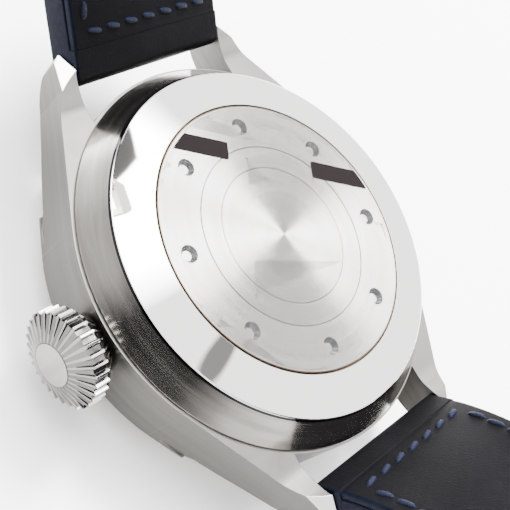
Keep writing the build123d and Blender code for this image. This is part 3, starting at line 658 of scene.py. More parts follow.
@dataclass(frozen=True)
class DrumSteel(Finish):
    """The back ring's finish by height: groove and edge painted with dark reflections, brushed cone, mirror
    bevel.
    """

    groove_top: float = 11.46 * MM
    groove_soft: float = 0.02 * MM
    # Painted dark reflection in the polished groove.
    groove_dark_reflection: Colour = (0.10, 0.095, 0.09)
    cone_top: float = 14.52 * MM
    cone_soft: float = 0.03 * MM
    cone_colours: tuple[Colour, Colour] = ((0.44, 0.415, 0.38), (0.66, 0.64, 0.60))
    cone_roughness: float = 0.17
    cone_change: Span = (-0.05, 0.06)
    # Painted dark reflection on the polished edge next to the bevel: its reach above the cone, its soft border
    # and its colour.
    edge_reach: Span = (0.02 * MM, 0.26 * MM)
    edge_soft: float = 0.01 * MM
    edge_colour: Colour = (0.06, 0.06, 0.065)
    seat_reach: Span = (15.425 * MM, 15.925 * MM)
    seat_soft: float = 0.01 * MM
    seat_colour: Colour = (0.22, 0.16, 0.12)
    seat_roughness: float = 0.6
    ring_rate: float = 9000.0
    ring_drift: float = 0.8
    ring_depth: float = 0.003 * MM
    tone_rate: float = 500.0
    tone_drift: float = 1.2
    soften: float = 0.06 * MM
    relief: float = 0.6

    def dress(self, tree: Tree) -> None:
        """Adds the zones and the brushed cone's rings.

        Args:
            tree: The material.
        """
        _, _, z = tree.parts()
        rings = tree.scratches(tree.rings(self.ring_rate, self.ring_drift))
        tone = tree.noise(tree.rings(self.tone_rate, self.tone_drift))
        cone = tree.between(z, self.groove_top, self.cone_top, self.cone_soft)
        groove = tree.fall(z, self.groove_top - self.groove_soft, self.groove_top + self.groove_soft)
        edge = tree.between(z, self.cone_top + self.edge_reach[0], self.cone_top + self.edge_reach[1],
                            self.edge_soft)
        seat = tree.between(tree.radius(), *self.seat_reach, self.seat_soft)
        colour = tree.mix(cone, self.colour, tree.mix(tree.span(tone, *TONE_BAND), *self.cone_colours))
        # Painted dark reflections in the groove and on the edge, then the seat's colour.
        zones = ((groove, self.groove_dark_reflection), (edge, self.edge_colour), (seat, self.seat_colour))
        for zone, zone_colour in zones:
            colour = tree.mix(zone, colour, zone_colour)
        brushed = self.uneven(tree, rings, self.cone_roughness, self.cone_change)
        tree.set(Base_Color=colour,
                 Roughness=tree.blend(seat, tree.blend(cone, self.roughness, brushed), self.seat_roughness))
        tree.bump(tree.times(rings, cone), self.ring_depth, self.relief, self.soften)


@dataclass(frozen=True)
class FlutedSteel(Finish):
    """Polished flutes round an axis along X, painted darker as shade in the hollows and as reflections on the
    end's cone.
    """

    flutes: int = 30
    hollow_reach: Span = (0.26, 0.93)
    hollow_soft: float = 0.05
    # Painted shade in the hollows, and painted dark reflections on the end's cone.
    hollow_shade: Colour = (0.055, 0.054, 0.052)
    cone_turn: Span = (-0.70, -0.50)
    cone_crest_reflection: Colour = (0.17, 0.167, 0.162)
    cone_hollow_shade: Colour = (0.070, 0.068, 0.066)
    axis_height: float = 7.65 * MM
    whole_turns: float = 1000.0
    streak_scale: float = 500.0
    streak_share: Span = (0.75, 1.0)
    streak_depth: float = 0.002 * MM
    soften: float = 0.05 * MM

    def dress(self, tree: Tree) -> None:
        """Paints shade in the flutes' hollows, found by angle: the fraction of flutes * angle / (2 pi).

        Args:
            tree: The material.
        """
        _, y, z = tree.parts()
        angle = tree.reckon("ARCTAN2", tree.minus(self.axis_height, z), y)
        turn = tree.reckon("DIVIDE", angle, math.tau / self.flutes)
        share = tree.reckon("FRACT", tree.plus(turn, self.whole_turns))
        inside = tree.between(share, *self.hollow_reach, self.hollow_soft)
        streak = tree.noise(tree.place, self.streak_scale, detail=2.0)
        cone = tree.fall(tree.facing()[0], *self.cone_turn)
        # Share of painted shade in the hollows, broken by streaks; the end's cone gets darker painted
        # reflections.
        depth = tree.times(inside, tree.span(streak, *LINE_BAND, *self.streak_share))
        tree.set(Base_Color=tree.mix(depth, tree.mix(cone, self.colour, self.cone_crest_reflection),
                                     tree.mix(cone, self.hollow_shade, self.cone_hollow_shade)))
        tree.bump(streak, self.streak_depth, self.relief, self.soften)


@dataclass(frozen=True)
class Leather(Finish):
    """Smooth calf leather with a fine grain and painted edges where the piece's edge attribute is 1."""

    sheen: float = 0.03
    grain_scale: float = 2300.0
    grain_depth: float = 0.035 * MM
    grain_gap: float = 0.12
    grain_share: float = 0.7
    fine_factor: float = 1.7
    fine_share: float = 0.5
    wear_scale: float = 160.0
    wear_band: Span = (0.3, 0.75)
    wear_share: float = 1.7
    edge_colour: Colour = (0.0014, 0.0020, 0.0060)
    edge_share: float = 1.8
    edge_layers: Triple = (200.0, 1500.0, 1500.0)
    edge_band: Span = (0.4, 0.6)
    edge_roughness: float = 0.36
    edge_relief: float = 0.25
    relief: float = 0.5

    def dress(self, tree: Tree) -> None:
        """Adds the grain, the soft tone of worn leather and the lacquered edges.

        Args:
            tree: The material.
        """
        edge = tree.nodes.new("ShaderNodeAttribute")
        edge.attribute_name = "edge"
        on_edge = edge.outputs["Fac"]
        wear = tree.noise(tree.place, self.wear_scale)
        skin = tree.mix(tree.span(wear, *self.wear_band), self.colour, shaded(self.colour, self.wear_share))
        layers = tree.noise(tree.stretched(self.edge_layers), detail=2.0)
        painted = tree.mix(tree.span(layers, *self.edge_band), self.edge_colour,
                           shaded(self.edge_colour, self.edge_share))
        tree.set(Base_Color=tree.mix(on_edge, skin, painted),
                 Roughness=tree.blend(on_edge, self.roughness, self.edge_roughness),
                 Specular_IOR_Level=self.sheen)
        grain = tree.span(tree.cells(tree.place, self.grain_scale), 0.0, self.grain_gap)
        fine = tree.noise(tree.place, self.grain_scale * self.fine_factor, detail=4.0)
        height = tree.plus(tree.times(grain, self.grain_share), tree.times(fine, self.fine_share))
        tree.bump(tree.times(height, tree.span(on_edge, 0.0, 1.0, 1.0, self.edge_relief)), self.grain_depth,
                  self.relief)


@dataclass(frozen=True)
class Thread(Finish):
    """Waxed thread with its twist showing as slanted ridges."""

    twist_rate: float = 40.0
    twist_depth: float = 0.04 * MM
    relief: float = 0.8

    def dress(self, tree: Tree) -> None:
        """Adds the twist along the piece's own UV map: the sine of twist_rate * u + 2 pi * v.

        Args:
            tree: The material.
        """
        u, v, _ = tree.parts(tree.nodes.new("ShaderNodeUVMap").outputs[0])
        wave = tree.reckon("SINE", tree.plus(tree.times(u, self.twist_rate), tree.times(v, math.tau)))
        tree.bump(tree.span(wave, -1.0, 1.0), self.twist_depth, self.relief)


@dataclass(frozen=True)
class Clear(Finish):
    """Clear glass or film that lets light through."""

    ior: float = 1.6
    see_through: float = 0.0

    def dress(self, tree: Tree) -> None:
        """Makes the piece transmit light, or lets most of it pass straight through a thin film.

        Args:
            tree: The material.
        """
        tree.set(Transmission_Weight=1.0, IOR=self.ior, Roughness=self.roughness)
        if self.see_through:
            tree.set(Transmission_Weight=0.0, Alpha=1.0 - self.see_through)


@dataclass(frozen=True)
class Finishes:
    """Every finish of the watch, as materials shared by its pieces."""

    facet_plane: tuple[float, float, float, float]

    def build(self) -> dict[str, bpy.types.Material]:
        """Builds the materials.

        Returns:
            The materials by finish name.
        """
        calf = (0.0018, 0.0018, 0.0022)
        dial_paint = (0.009, 0.009, 0.010)
        chosen = (
            CaseSteel("case_satin", (0.29, 0.284, 0.270), 0.34, 1.0, facet=self.facet_plane),
            SatinSteel("plain_satin", (0.63, 0.61, 0.58), 0.32, 1.0),
            BackSteel("back_turned", (0.68, 0.666, 0.642), 0.23, 1.0, fan=1.0),
            TurnedSteel("bezel_turned", (0.66, 0.64, 0.61), 0.26, 1.0, fan=0.4),
            DrumSteel("drum_steel", (0.82, 0.81, 0.79), 0.02, 1.0, marks=0.01),
            Finish("polished_steel", (0.80, 0.79, 0.77), 0.05, 1.0, marks=0.02),
            FlutedSteel("crown_steel", (0.95, 0.94, 0.92), 0.08, 1.0, marks=0.02),
            SatinSteel("medallion_satin", (0.30, 0.295, 0.285), 0.36, 1.0, lines=(300.0, 9000.0, 300.0)),
            Leather("black_calf", calf, 0.46),
            Leather("black_lining", calf, 0.47, grain_scale=2600.0, grain_depth=0.03 * MM),
            Thread("blue_thread", (0.0013, 0.0027, 0.0110), 0.6, gloss=0.2),
            Clear("sapphire", (0.95, 0.97, 1.0), 0.0, ior=1.76),
            Clear("film", (0.30, 0.30, 0.31), 0.10, gloss=0.2, see_through=0.965),
            Finish("film_ink", (0.0068, 0.0052, 0.0054), 0.45, gloss=0.03),
            Finish("rubber", (0.012, 0.012, 0.012), 0.7),
            Finish("dial_black", dial_paint, 0.55, marks=0.1),
            Finish("luminous", (0.80, 0.84, 0.72), 0.6),
            TrackPaint("track_paint", dial_paint, 0.55),
            Finish("hand_steel", (0.72, 0.73, 0.74), 0.28, 0.9),
            TurnedSteel("gilt", (0.80, 0.62, 0.33), 0.28, 1.0, fan=0.3),
            TurnedSteel("plated", (0.64, 0.63, 0.61), 0.34, 1.0, fan=0.2),
            Finish("soft_iron", (0.36, 0.36, 0.37), 0.42, 1.0),
        )
        return {finish.name: finish.material() for finish in chosen}


def mesh_object(name: str, points: np.ndarray, faces: np.ndarray | list, body: str,
                material: bpy.types.Material, smooth: bool = True) -> bpy.types.Object:
    """Makes a piece from points and faces and lets it ride on a body.

    Args:
        name: The piece's name.
        points: Points as rows, in metres.
        faces: Faces as lists of point indices.
        body: The body it rides on.
        material: Its material.
        smooth: Whether it is shaded smooth.

    Returns:
        The new object.
    """
    mesh = bpy.data.meshes.new(name)
    rows = np.asarray(points, float).reshape(-1, 3).tolist()
    mesh.from_pydata(rows, [], [list(map(int, face)) for face in faces])
    mesh.validate()
    mesh.update()
    mesh.polygons.foreach_set("use_smooth", np.full(len(mesh.polygons), smooth))
    mesh.materials.append(material)
    piece = bpy.data.objects.new(name, mesh)
    bpy.context.scene.collection.objects.link(piece)
    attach(piece, body)
    return piece


def recalculate(piece: bpy.types.Object) -> None:
    """Turns every face of a closed mesh outwards.

    Args:
        piece: The piece.
    """
    work = bmesh.new()
    work.from_mesh(piece.data)
    bmesh.ops.recalc_face_normals(work, faces=work.faces)
    work.to_mesh(piece.data)
    work.free()


def mark_edge(piece: bpy.types.Object, share: np.ndarray) -> None:
    """Writes each point's share of painted edge into the piece's edge attribute."""
    values = share.astype(np.float32)
    piece.data.attributes.new("edge", "FLOAT", "POINT").data.foreach_set("value", values)


def ring_faces(rows: int, columns: int) -> np.ndarray:
    """Faces of a grid whose columns close on themselves: (r, c), (r, c+1), (r+1, c+1), (r+1, c).

    Args:
        rows: Number of rows of points.
        columns: Number of points in a row.

    Returns:
        Four point indices a face.
    """
    row, column = np.meshgrid(np.arange(rows - 1), np.arange(columns), indexing="ij")
    first = row * columns
    after = (column + 1) % columns
    faces = [first + column, first + after, first + columns + after, first + columns + column]
    return np.stack(faces, axis=-1).reshape(-1, 4)


@dataclass
class StrapLine:
    """The middle line of a strap half in side view: runs of length (mm) and end heading (degrees)."""

    heading: float
    runs: tuple[Span, ...]
    start: Span = (27.0, 10.6)
    wrist_offset: Span = (2.95, 1.5)
    dial_offset: Span = (1.4, 1.5)
    thin_span: Span = (10.0, 60.0)
    width_span: Span = (14.0, 58.0)
    half_width: Span = (10.85, 9.0)
    fine_steps: int = 1200

    @property
    def length(self) -> float:
        """Length of the line in millimetres."""
        return sum(length for length, _ in self.runs)

    def at(self, distance: np.ndarray) -> tuple[np.ndarray, np.ndarray]:
        """Walks along the line.

        The heading grows evenly along each run, so the place is the start plus the sum of many short steps,
        each in the direction (cos, sin) of its middle heading. Past the end the line goes straight on.

        Args:
            distance: Distances from the spring bar, in millimetres.

        Returns:
            Points (y, z) in millimetres and headings in radians.
        """
        distance = np.asarray(distance, float)
        ends = np.cumsum([0.0] + [length for length, _ in self.runs])
        headings = np.radians([self.heading] + [end for _, end in self.runs])
        heading = np.interp(distance, ends, headings)
        fine = np.linspace(0.0, ends[-1], self.fine_steps)
        fine_heading = np.interp(fine, ends, headings)
        step = np.diff(fine)
        middle = (fine_heading[1:] + fine_heading[:-1]) / 2.0
        y = np.concatenate([[0.0], np.cumsum(step * np.cos(middle))]) + self.start[0]
        z = np.concatenate([[0.0], np.cumsum(step * np.sin(middle))]) + self.start[1]
        beyond = distance - np.clip(distance, 0.0, ends[-1])
        points = np.stack([np.interp(distance, fine, y) + beyond * np.cos(heading),
                           np.interp(distance, fine, z) + beyond * np.sin(heading)], axis=-1)
        return points, heading

    def offsets(self, distance: np.ndarray) -> tuple[np.ndarray, np.ndarray]:
        """Finds how far the faces lie from the line, which changes evenly over thin_span.

        Args:
            distance: Distances from the spring bar, in millimetres.

        Returns:
            The wrist side's and the dial side's distance, in millimetres.
        """
        share = np.clip((distance - self.thin_span[0]) / (self.thin_span[1] - self.thin_span[0]), 0.0, 1.0)
        wrist = self.wrist_offset[0] + (self.wrist_offset[1] - self.wrist_offset[0]) * share
        dial = self.dial_offset[0] + (self.dial_offset[1] - self.dial_offset[0]) * share
        return wrist, dial

    def half_width_at(self, height: np.ndarray) -> np.ndarray:
        """Half the strap's width in millimetres at a height, tapering evenly over width_span."""
        share = np.clip((height - self.width_span[0]) / (self.width_span[1] - self.width_span[0]), 0.0, 1.0)
        return self.half_width[0] + (self.half_width[1] - self.half_width[0]) * share

    def place(self, distance: np.ndarray, across: np.ndarray, rise: np.ndarray, side: int) -> np.ndarray:
        """Turns strap coordinates into points in metres.

        Args:
            distance: Distance along the line, in millimetres.
            across: Distance from the middle along X, in millimetres.
            rise: Distance from the line towards the wrist, in millimetres.
            side: The sign of the half's side.

        Returns:
            Points in metres: line(distance) + rise * (-sin, cos) in side view, with across as X.
        """
        points, heading = self.at(distance)
        y = points[..., 0] - rise * np.sin(heading)
        z = points[..., 1] + rise * np.cos(heading)
        return np.stack([across, side * y, z], axis=-1) * MM


@dataclass(frozen=True)
class Layer:
    """One layer of a half's leather: where it starts and how its nose and its corners are rounded."""

    start: float
    nose: float
    nose_narrowing: float
    wrist_round: float
    dial_round: float
    inset: float = 0.0
    least_swell: float = 0.0


@dataclass(frozen=True)
class Opening:
    """An opening through the strap: how far past the line's end it lies, and its radii across and along."""

    past_end: float
    radii: Span


@dataclass
class StrapHalf:
    """One padded half of the strap: body, lining, openings and thread."""

    half: Half
    line: StrapLine
    names: tuple[str, str]
    body: str
    openings: tuple[Opening, ...]
    seam_stop: float
    end_extra: float = 0.0
    point_length: float = 0.0
    least_point_share: float = 0.16
    leather: Layer = Layer(-1.75, 1.6, 0.35, 0.22, 0.55)
    lining: Layer = Layer(2.5, 0.05, 0.02, 0.36, 0.1, inset=0.12, least_swell=0.9)
    lining_thickness: float = 0.9
    step_reach: Span = (0.03, 0.01)
    tail: float = 0.4
    tail_share: float = 0.5
    first_turn: float = 0.04
    turn_steps: int = 14
    stations: int = 150
    painted_rows: int = 5
    pad: float = 0.35
    pad_share: float = 0.1
    corner_share: float = 0.48
    corner_steps: int = 9
    face_steps: int = 9
    edge_power: float = 0.7
    post_reach: float = 8.0
    post_sides: int = 32
    seam_inset: float = 1.85
    seam_start: float = 4.1
    stitch_pitch: float = 2.25
    stitch_length: float = 2.12
    stitch_radius: float = 0.35
    stitch_slant: float = 11.0
    stitch_bow: float = 0.12
    stitch_sink: float = 0.10
    stitch_steps: int = 7
    stitch_sides: int = 6
    least_stitch_share: float = 0.02
    crown_half_width: float = 9.6
    crown_share: float = 0.6
    press_depth: float = 0.0
    press_start: float = 27.5
    press_length: float = 2.0

    def section(self, half_width: np.ndarray, top: np.ndarray, bottom: np.ndarray,
                layer: Layer) -> tuple[np.ndarray, np.ndarray, np.ndarray]:
        """Rounded rectangle across the strap at each station.

        Each corner is a quarter circle, centre + radius * (cos, sin), never more than corner_share of the
        thickness there. The dial face swells by pad * (1 - t^2), t from -1 to 1 across it.

        Args:
            half_width: Half widths of the stations, in millimetres.
            top: Rise of the wrist face.
            bottom: Rise of the dial face.
            layer: The layer, for its corner radii.

        Returns:
            Across and rise, both stations by points, and the share of each point that is edge.
        """
        quarter = np.linspace(0.0, np.pi / 2.0, self.corner_steps)
        flat = np.linspace(-1.0, 1.0, self.face_steps)[1:-1]
        plain = np.zeros(len(flat))
        thick = top - bottom
        across, rise, edge = [], [], []
        corners = ((1, -1, layer.dial_round, -np.pi / 2), (1, 1, layer.wrist_round, 0.0),
                   (-1, 1, layer.wrist_round, np.pi / 2), (-1, -1, layer.dial_round, np.pi))
        for sign_x, sign_z, limit, first in corners:
            angle = first + quarter
            radius = np.minimum(limit, thick * self.corner_share)[:, None]
            face = (top if sign_z > 0 else bottom)[:, None]
            across.append(sign_x * (half_width[:, None] - radius) + radius * np.cos(angle)[None, :])
            rise.append(face - sign_z * radius + radius * np.sin(angle)[None, :])
            edge.append(np.abs(np.cos(angle)) ** self.edge_power)
            if (sign_x, sign_z) == (1, 1):
                across.append((half_width[:, None] - radius) * -flat[None, :])
                rise.append(np.repeat(top[:, None], len(flat), axis=1))
                edge.append(plain)
        across.append((half_width[:, None] - radius) * flat[None, :])
        swelling = np.minimum(self.pad, thick * self.pad_share)[:, None] * (1.0 - flat ** 2)[None, :]
        rise.append(bottom[:, None] - swelling)
        edge.append(plain)
        return np.concatenate(across, axis=1), np.concatenate(rise, axis=1), np.concatenate(edge)

    def walk(self, layer: Layer) -> tuple[np.ndarray, np.ndarray, np.ndarray]:
        """Stations along a layer, close together at its rounded ends.

        At nose * (1 - cos t) past its start the thickness is sin t of the whole. The other end shrinks by
        tail * (1 - sin t) while it moves tail * cos t.

        Args:
            layer: The layer.

        Returns:
            Each station's distance in millimetres, its share of the thickness and how far its faces draw in.
        """
        turn = np.linspace(self.first_turn, np.pi / 2.0, self.turn_steps)
        first = layer.start + layer.nose
        last = self.line.length + self.end_extra - self.tail
        step = [self.lining.start - self.step_reach[0], self.lining.start + self.step_reach[1]]
        middle = np.unique(np.concatenate([np.linspace(first, last, self.stations), step]))
        middle = middle[(middle > first) & (middle < last)]
        nose = layer.start + layer.nose * (1 - np.cos(turn))
        tail = last + self.tail - self.tail * (1 - np.cos(turn[::-1]))
        distance = np.concatenate([nose, middle, tail])
        swell = np.concatenate([np.sin(turn), np.ones(len(middle) + len(turn))])
        shrink = np.concatenate([np.zeros(len(turn) + len(middle)), self.tail * (1 - np.sin(turn[::-1]))])
        return distance, swell, shrink

    def faces(self, layer: Layer, distance: np.ndarray, shrink: np.ndarray) -> tuple[np.ndarray, np.ndarray]:
        """Rises of a layer's wrist and dial faces: the body steps down under its lining.

        Args:
            layer: The layer.
            distance: Its stations in millimetres.
            shrink: How far its faces draw in there.

        Returns:
            The wrist face's and the dial face's rise in millimetres.
        """
        wrist, dial = self.line.offsets(distance)
        if layer is self.lining:
            return wrist - shrink, wrist - self.lining_thickness + shrink * self.tail_share
        before, after = self.step_reach
        covered = np.clip((distance - self.lining.start + before) / (before + after), 0.0, 1.0)
        return wrist - covered * self.lining_thickness - shrink, -dial + shrink

    def band(self, name: str, layer: Layer, material: bpy.types.Material, replaced: str) -> bpy.types.Object:
        """Builds one layer as a closed band, whose end narrows to a half ellipse over point_length.

        Args:
            name: The piece's name.
            layer: The layer.
            material: Its material.
            replaced: The node it replaces.

        Returns:
            The band.
        """
        distance, swell, shrink = self.walk(layer)
        height = self.line.at(distance)[0][:, 1]
        half_width = self.line.half_width_at(height) - layer.inset - shrink
        half_width -= layer.nose_narrowing * (1.0 - swell)
        if self.point_length:
            left = np.clip((self.line.length - distance) / self.point_length, 0.0, 1.0)
            ellipse = np.sqrt(np.clip(1.0 - (1.0 - left) ** 2, 0.0, 1.0))
            half_width *= np.maximum(ellipse, self.least_point_share)
        top, bottom = self.faces(layer, distance, shrink)
        middle = (top + bottom) / 2
        half_thick = (top - bottom) / 2 * np.maximum(swell, layer.least_swell)
        across, rise, edge = self.section(half_width, middle + half_thick, middle - half_thick, layer)
        rows, columns = across.shape
        stations = np.repeat(distance[:, None], columns, axis=1)
        grid = self.line.place(stations, across, rise, self.half.value)
        faces = ring_faces(rows, columns).tolist()
        faces += [list(range(columns))[::-1], list(range((rows - 1) * columns, rows * columns))]
        piece = mesh_object(name, grid, faces, self.body, material)
        recalculate(piece)
        share = np.tile(edge, rows)
        share[-columns * self.painted_rows:] = 1.0
        mark_edge(piece, share)
        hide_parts(replaced)
        return piece

    def cut(self, piece: bpy.types.Object, cutters: list[bpy.types.Object]) -> None:
        """Cuts the cutters out of a piece and removes them.

        Args:
            piece: The piece to cut.
            cutters: Closed solids in place.
        """
        for cutter in cutters:
            modifier = piece.modifiers.new("cut", "BOOLEAN")
            modifier.operation = "DIFFERENCE"
            modifier.solver = "EXACT"
            modifier.object = cutter
        graph = bpy.context.evaluated_depsgraph_get()
        cut_mesh = bpy.data.meshes.new_from_object(piece.evaluated_get(graph))
        piece.modifiers.clear()
        piece.data = cut_mesh
        for cutter in cutters:
            bpy.data.objects.remove(cutter)

    def post(self, opening: Opening) -> bpy.types.Object:
        """Closed elliptical post through the strap: radii * (cos, sin) across and along it.

        Args:
            opening: The opening that it cuts.

        Returns:
            The post, riding on nothing.
        """
        angle = np.linspace(0.0, 2.0 * np.pi, self.post_sides, endpoint=False)
        centre, heading = self.line.at(np.array([self.line.length + opening.past_end]))
        along = opening.radii[1] * np.sin(angle)
        rings = []
        for rise in (-self.post_reach, self.post_reach):
            y = centre[0, 0] + along * np.cos(heading[0]) - rise * np.sin(heading[0])
            z = centre[0, 1] + along * np.sin(heading[0]) + rise * np.cos(heading[0])
            rings.append(np.stack([opening.radii[0] * np.cos(angle), self.half.value * y, z], axis=-1) * MM)
        faces = ring_faces(2, self.post_sides).tolist()
        faces.append(list(range(self.post_sides))[::-1])
        faces.append(list(range(self.post_sides, 2 * self.post_sides)))
        mesh = bpy.data.meshes.new("cutter")
        mesh.from_pydata(np.concatenate(rings).tolist(), [], faces)
        if self.half is Half.BUCKLE:
            mesh.flip_normals()
        mesh.update()
        cutter = bpy.data.objects.new("cutter", mesh)
        bpy.context.scene.collection.objects.link(cutter)
        return cutter

    def seam_places(self) -> tuple[np.ndarray, np.ndarray, np.ndarray]:
        """Places of the stitches: both long seams and the row across by the lugs.

        Returns:
            Distance along, distance across, and the stitch's direction in radians from the strap's length.
        """
        end = self.line.length - self.seam_stop
        along = np.arange(self.seam_start + self.stitch_pitch, end, self.stitch_pitch)
        height = self.line.at(along)[0][:, 1]
        side = self.line.half_width_at(height) - self.seam_inset
        reach = side[0] - self.stitch_pitch / 2
        row = np.linspace(-reach, reach, int(2 * side[0] / self.stitch_pitch))
        distance = np.concatenate([along, along, np.full(len(row), self.seam_start)])
        across = np.concatenate([side, -side, row])
        slant = math.radians(self.stitch_slant)
        turn = np.concatenate([np.full(2 * len(along), slant), np.full(len(row), math.pi / 2 + slant)])
        return distance, across, turn

    def thread_grid(self) -> np.ndarray:
        """Points of the stitches on both faces of the strap.

        A stitch is a tube of radius r * sqrt(1 - t^4) round a line that rises by bow * (1 - t^2), with t
        from -1 to 1. From press_start before the line's end on, the stitches lie press_depth deeper.

        Returns:
            Stitches by rows by points by (x, y, z), in metres.
        """
        distance, across, turn = self.seam_places()
        t = np.linspace(-1.0, 1.0, self.stitch_steps)
        angle = np.linspace(0.0, 2.0 * np.pi, self.stitch_sides, endpoint=False)
        radius = self.stitch_radius * np.sqrt(np.clip(1.0 - t ** 4, self.least_stitch_share, 1.0))
        reach = (t * self.stitch_length / 2.0)[None, :, None]
        around = radius[None, :, None] * np.cos(angle)[None, None, :]
        ahead = np.cos(turn)[:, None, None]
        aside = np.sin(turn)[:, None, None]
        along = distance[:, None, None] + reach * ahead - around * aside
        side = across[:, None, None] + reach * aside + around * ahead
        pressed = np.clip((distance - self.line.length + self.press_start) / self.press_length, 0.0, 1.0)
        bow = self.stitch_bow * (1.0 - t ** 2)[None, :, None] - self.stitch_sink
        above = radius[None, :, None] * np.sin(angle)[None, None, :]
        lift = bow - self.press_depth * pressed[:, None, None] + above
        wrist, dial = self.line.offsets(distance)
        swelling = self.pad * (1 - (across / self.crown_half_width) ** 2).clip(0, 1) * self.crown_share
        layers = []
        for face, base in ((1, wrist), (-1, -dial - swelling)):
            layers.append(self.line.place(along, side, base[:, None, None] + face * lift, self.half.value))
        return np.concatenate(layers)

    def thread(self, name: str, material: bpy.types.Material) -> bpy.types.Object:
        """Builds the thread: a bowed capsule for each stitch, with its own UV map along and round it.

        Args:
            name: The piece's name.
            material: Its material.

        Returns:
            The thread as one piece.
        """
        grid = self.thread_grid()
        count, rows, columns, _ = grid.shape
        size = rows * columns
        tubes = ring_faces(rows, columns)[None] + (np.arange(count) * size)[:, None, None]
        faces = tubes.reshape(-1, 4).tolist()
        faces += [list(range(k * size, k * size + columns))[::-1] for k in range(count)]
        faces += [list(range((k + 1) * size - columns, (k + 1) * size)) for k in range(count)]
        piece = mesh_object(name, grid, faces, self.body, material)
        recalculate(piece)
        index = np.zeros(len(piece.data.loops), dtype=np.int32)
        piece.data.loops.foreach_get("vertex_index", index)
        place = index % size
        uv = np.stack([place // columns / (rows - 1), place % columns / columns], axis=-1)
        piece.data.uv_layers.new(name="UVMap").data.foreach_set("uv", uv.ravel().astype(np.float32))
        return piece

    def build(self, materials: dict[str, bpy.types.Material]) -> list[bpy.types.Object]:
        """Builds every piece of the half.

        Args:
            materials: The finishes.

        Returns:
            The pieces.
        """
        outer = self.band(f"{self.names[0]}_leather", self.leather, materials["black_calf"], self.names[0])
        lining = self.band(f"{self.names[1]}_leather", self.lining, materials["black_lining"], self.names[1])
        for piece in (outer, lining):
            self.cut(piece, [self.post(opening) for opening in self.openings])
        thread = self.thread(f"{self.names[0]}_thread", materials["blue_thread"])
        return [outer, lining, thread]


@dataclass
class Keeper:
    """A leather loop: a rounded strip bent round the strap in a rounded rectangle."""

    name: str
    node: str
    body: str
    line: StrapLine
    place: float
    gap: float
    wall: float = 1.1
    length: float = 5.0
    room: float = 3.2
    corner: float = 1.3
    corner_steps: int = 10
    section_points: int = 20
    wall_power: float = 0.5
    length_power: float = 0.35
    painted_from: float = 0.92

    def path(self) -> tuple[np.ndarray, np.ndarray]:
        """The strip's middle line across the strap: a rectangle whose corners are quarter circles.

        Returns:
            Points (across, rise) in millimetres and the outward direction at each.
        """
        half = self.line.half_width[1] + self.gap + self.wall / 2
        low = -self.line.dial_offset[1] - self.room - self.wall / 2
        high = self.line.wrist_offset[1] + self.gap + self.wall / 2
        quarter = np.linspace(0.0, np.pi / 2, self.corner_steps)
        path = []
        corners = ((1, low, 1, -np.pi / 2), (1, high, -1, 0.0),
                   (-1, high, -1, np.pi / 2), (-1, low, 1, np.pi))
        for sign_x, face, inward, first in corners:
            angle = first + quarter
            path.append(np.stack([sign_x * (half - self.corner) + self.corner * np.cos(angle),
                                  face + inward * self.corner + self.corner * np.sin(angle)], axis=-1))
        path = np.concatenate(path)
        ahead = np.roll(path, -1, axis=0) - np.roll(path, 1, axis=0)
        ahead /= np.linalg.norm(ahead, axis=1, keepdims=True)
        return path, np.stack([ahead[:, 1], -ahead[:, 0]], axis=-1)

    def build(self, material: bpy.types.Material) -> bpy.types.Object:
        """Builds the loop: at each point of the path the strip's section is a superellipse of wall by length.

        Across it is wall / 2 times the sign and a power of cos, along it length / 2 times those of sin.

        Args:
            material: Its material.

        Returns:
            The loop.
        """
        path, outward = self.path()
        angle = np.linspace(0, 2 * np.pi, self.section_points, endpoint=False)
        cos, sin = np.cos(angle), np.sin(angle)
        across = self.wall / 2 * np.sign(cos) * np.abs(cos) ** self.wall_power
        along = self.length / 2 * np.sign(sin) * np.abs(sin) ** self.length_power
        ring = path[:, None, :] + outward[:, None, :] * across[None, :, None]
        centre, heading = self.line.at(np.array([self.line.length - self.place]))
        y = centre[0, 0] + along[None, :] * np.cos(heading[0]) - ring[..., 1] * np.sin(heading[0])
        z = centre[0, 1] + along[None, :] * np.sin(heading[0]) + ring[..., 1] * np.cos(heading[0])
        grid = np.stack([ring[..., 0], y, z], axis=-1) * MM
        rows, columns, _ = grid.shape
        faces = ring_faces(rows + 1, columns) % (rows * columns)
        piece = mesh_object(self.name, grid, faces, self.body, material)
        recalculate(piece)
        mark_edge(piece, np.tile(np.abs(sin) > self.painted_from, rows))
        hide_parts(self.node)
        return piece


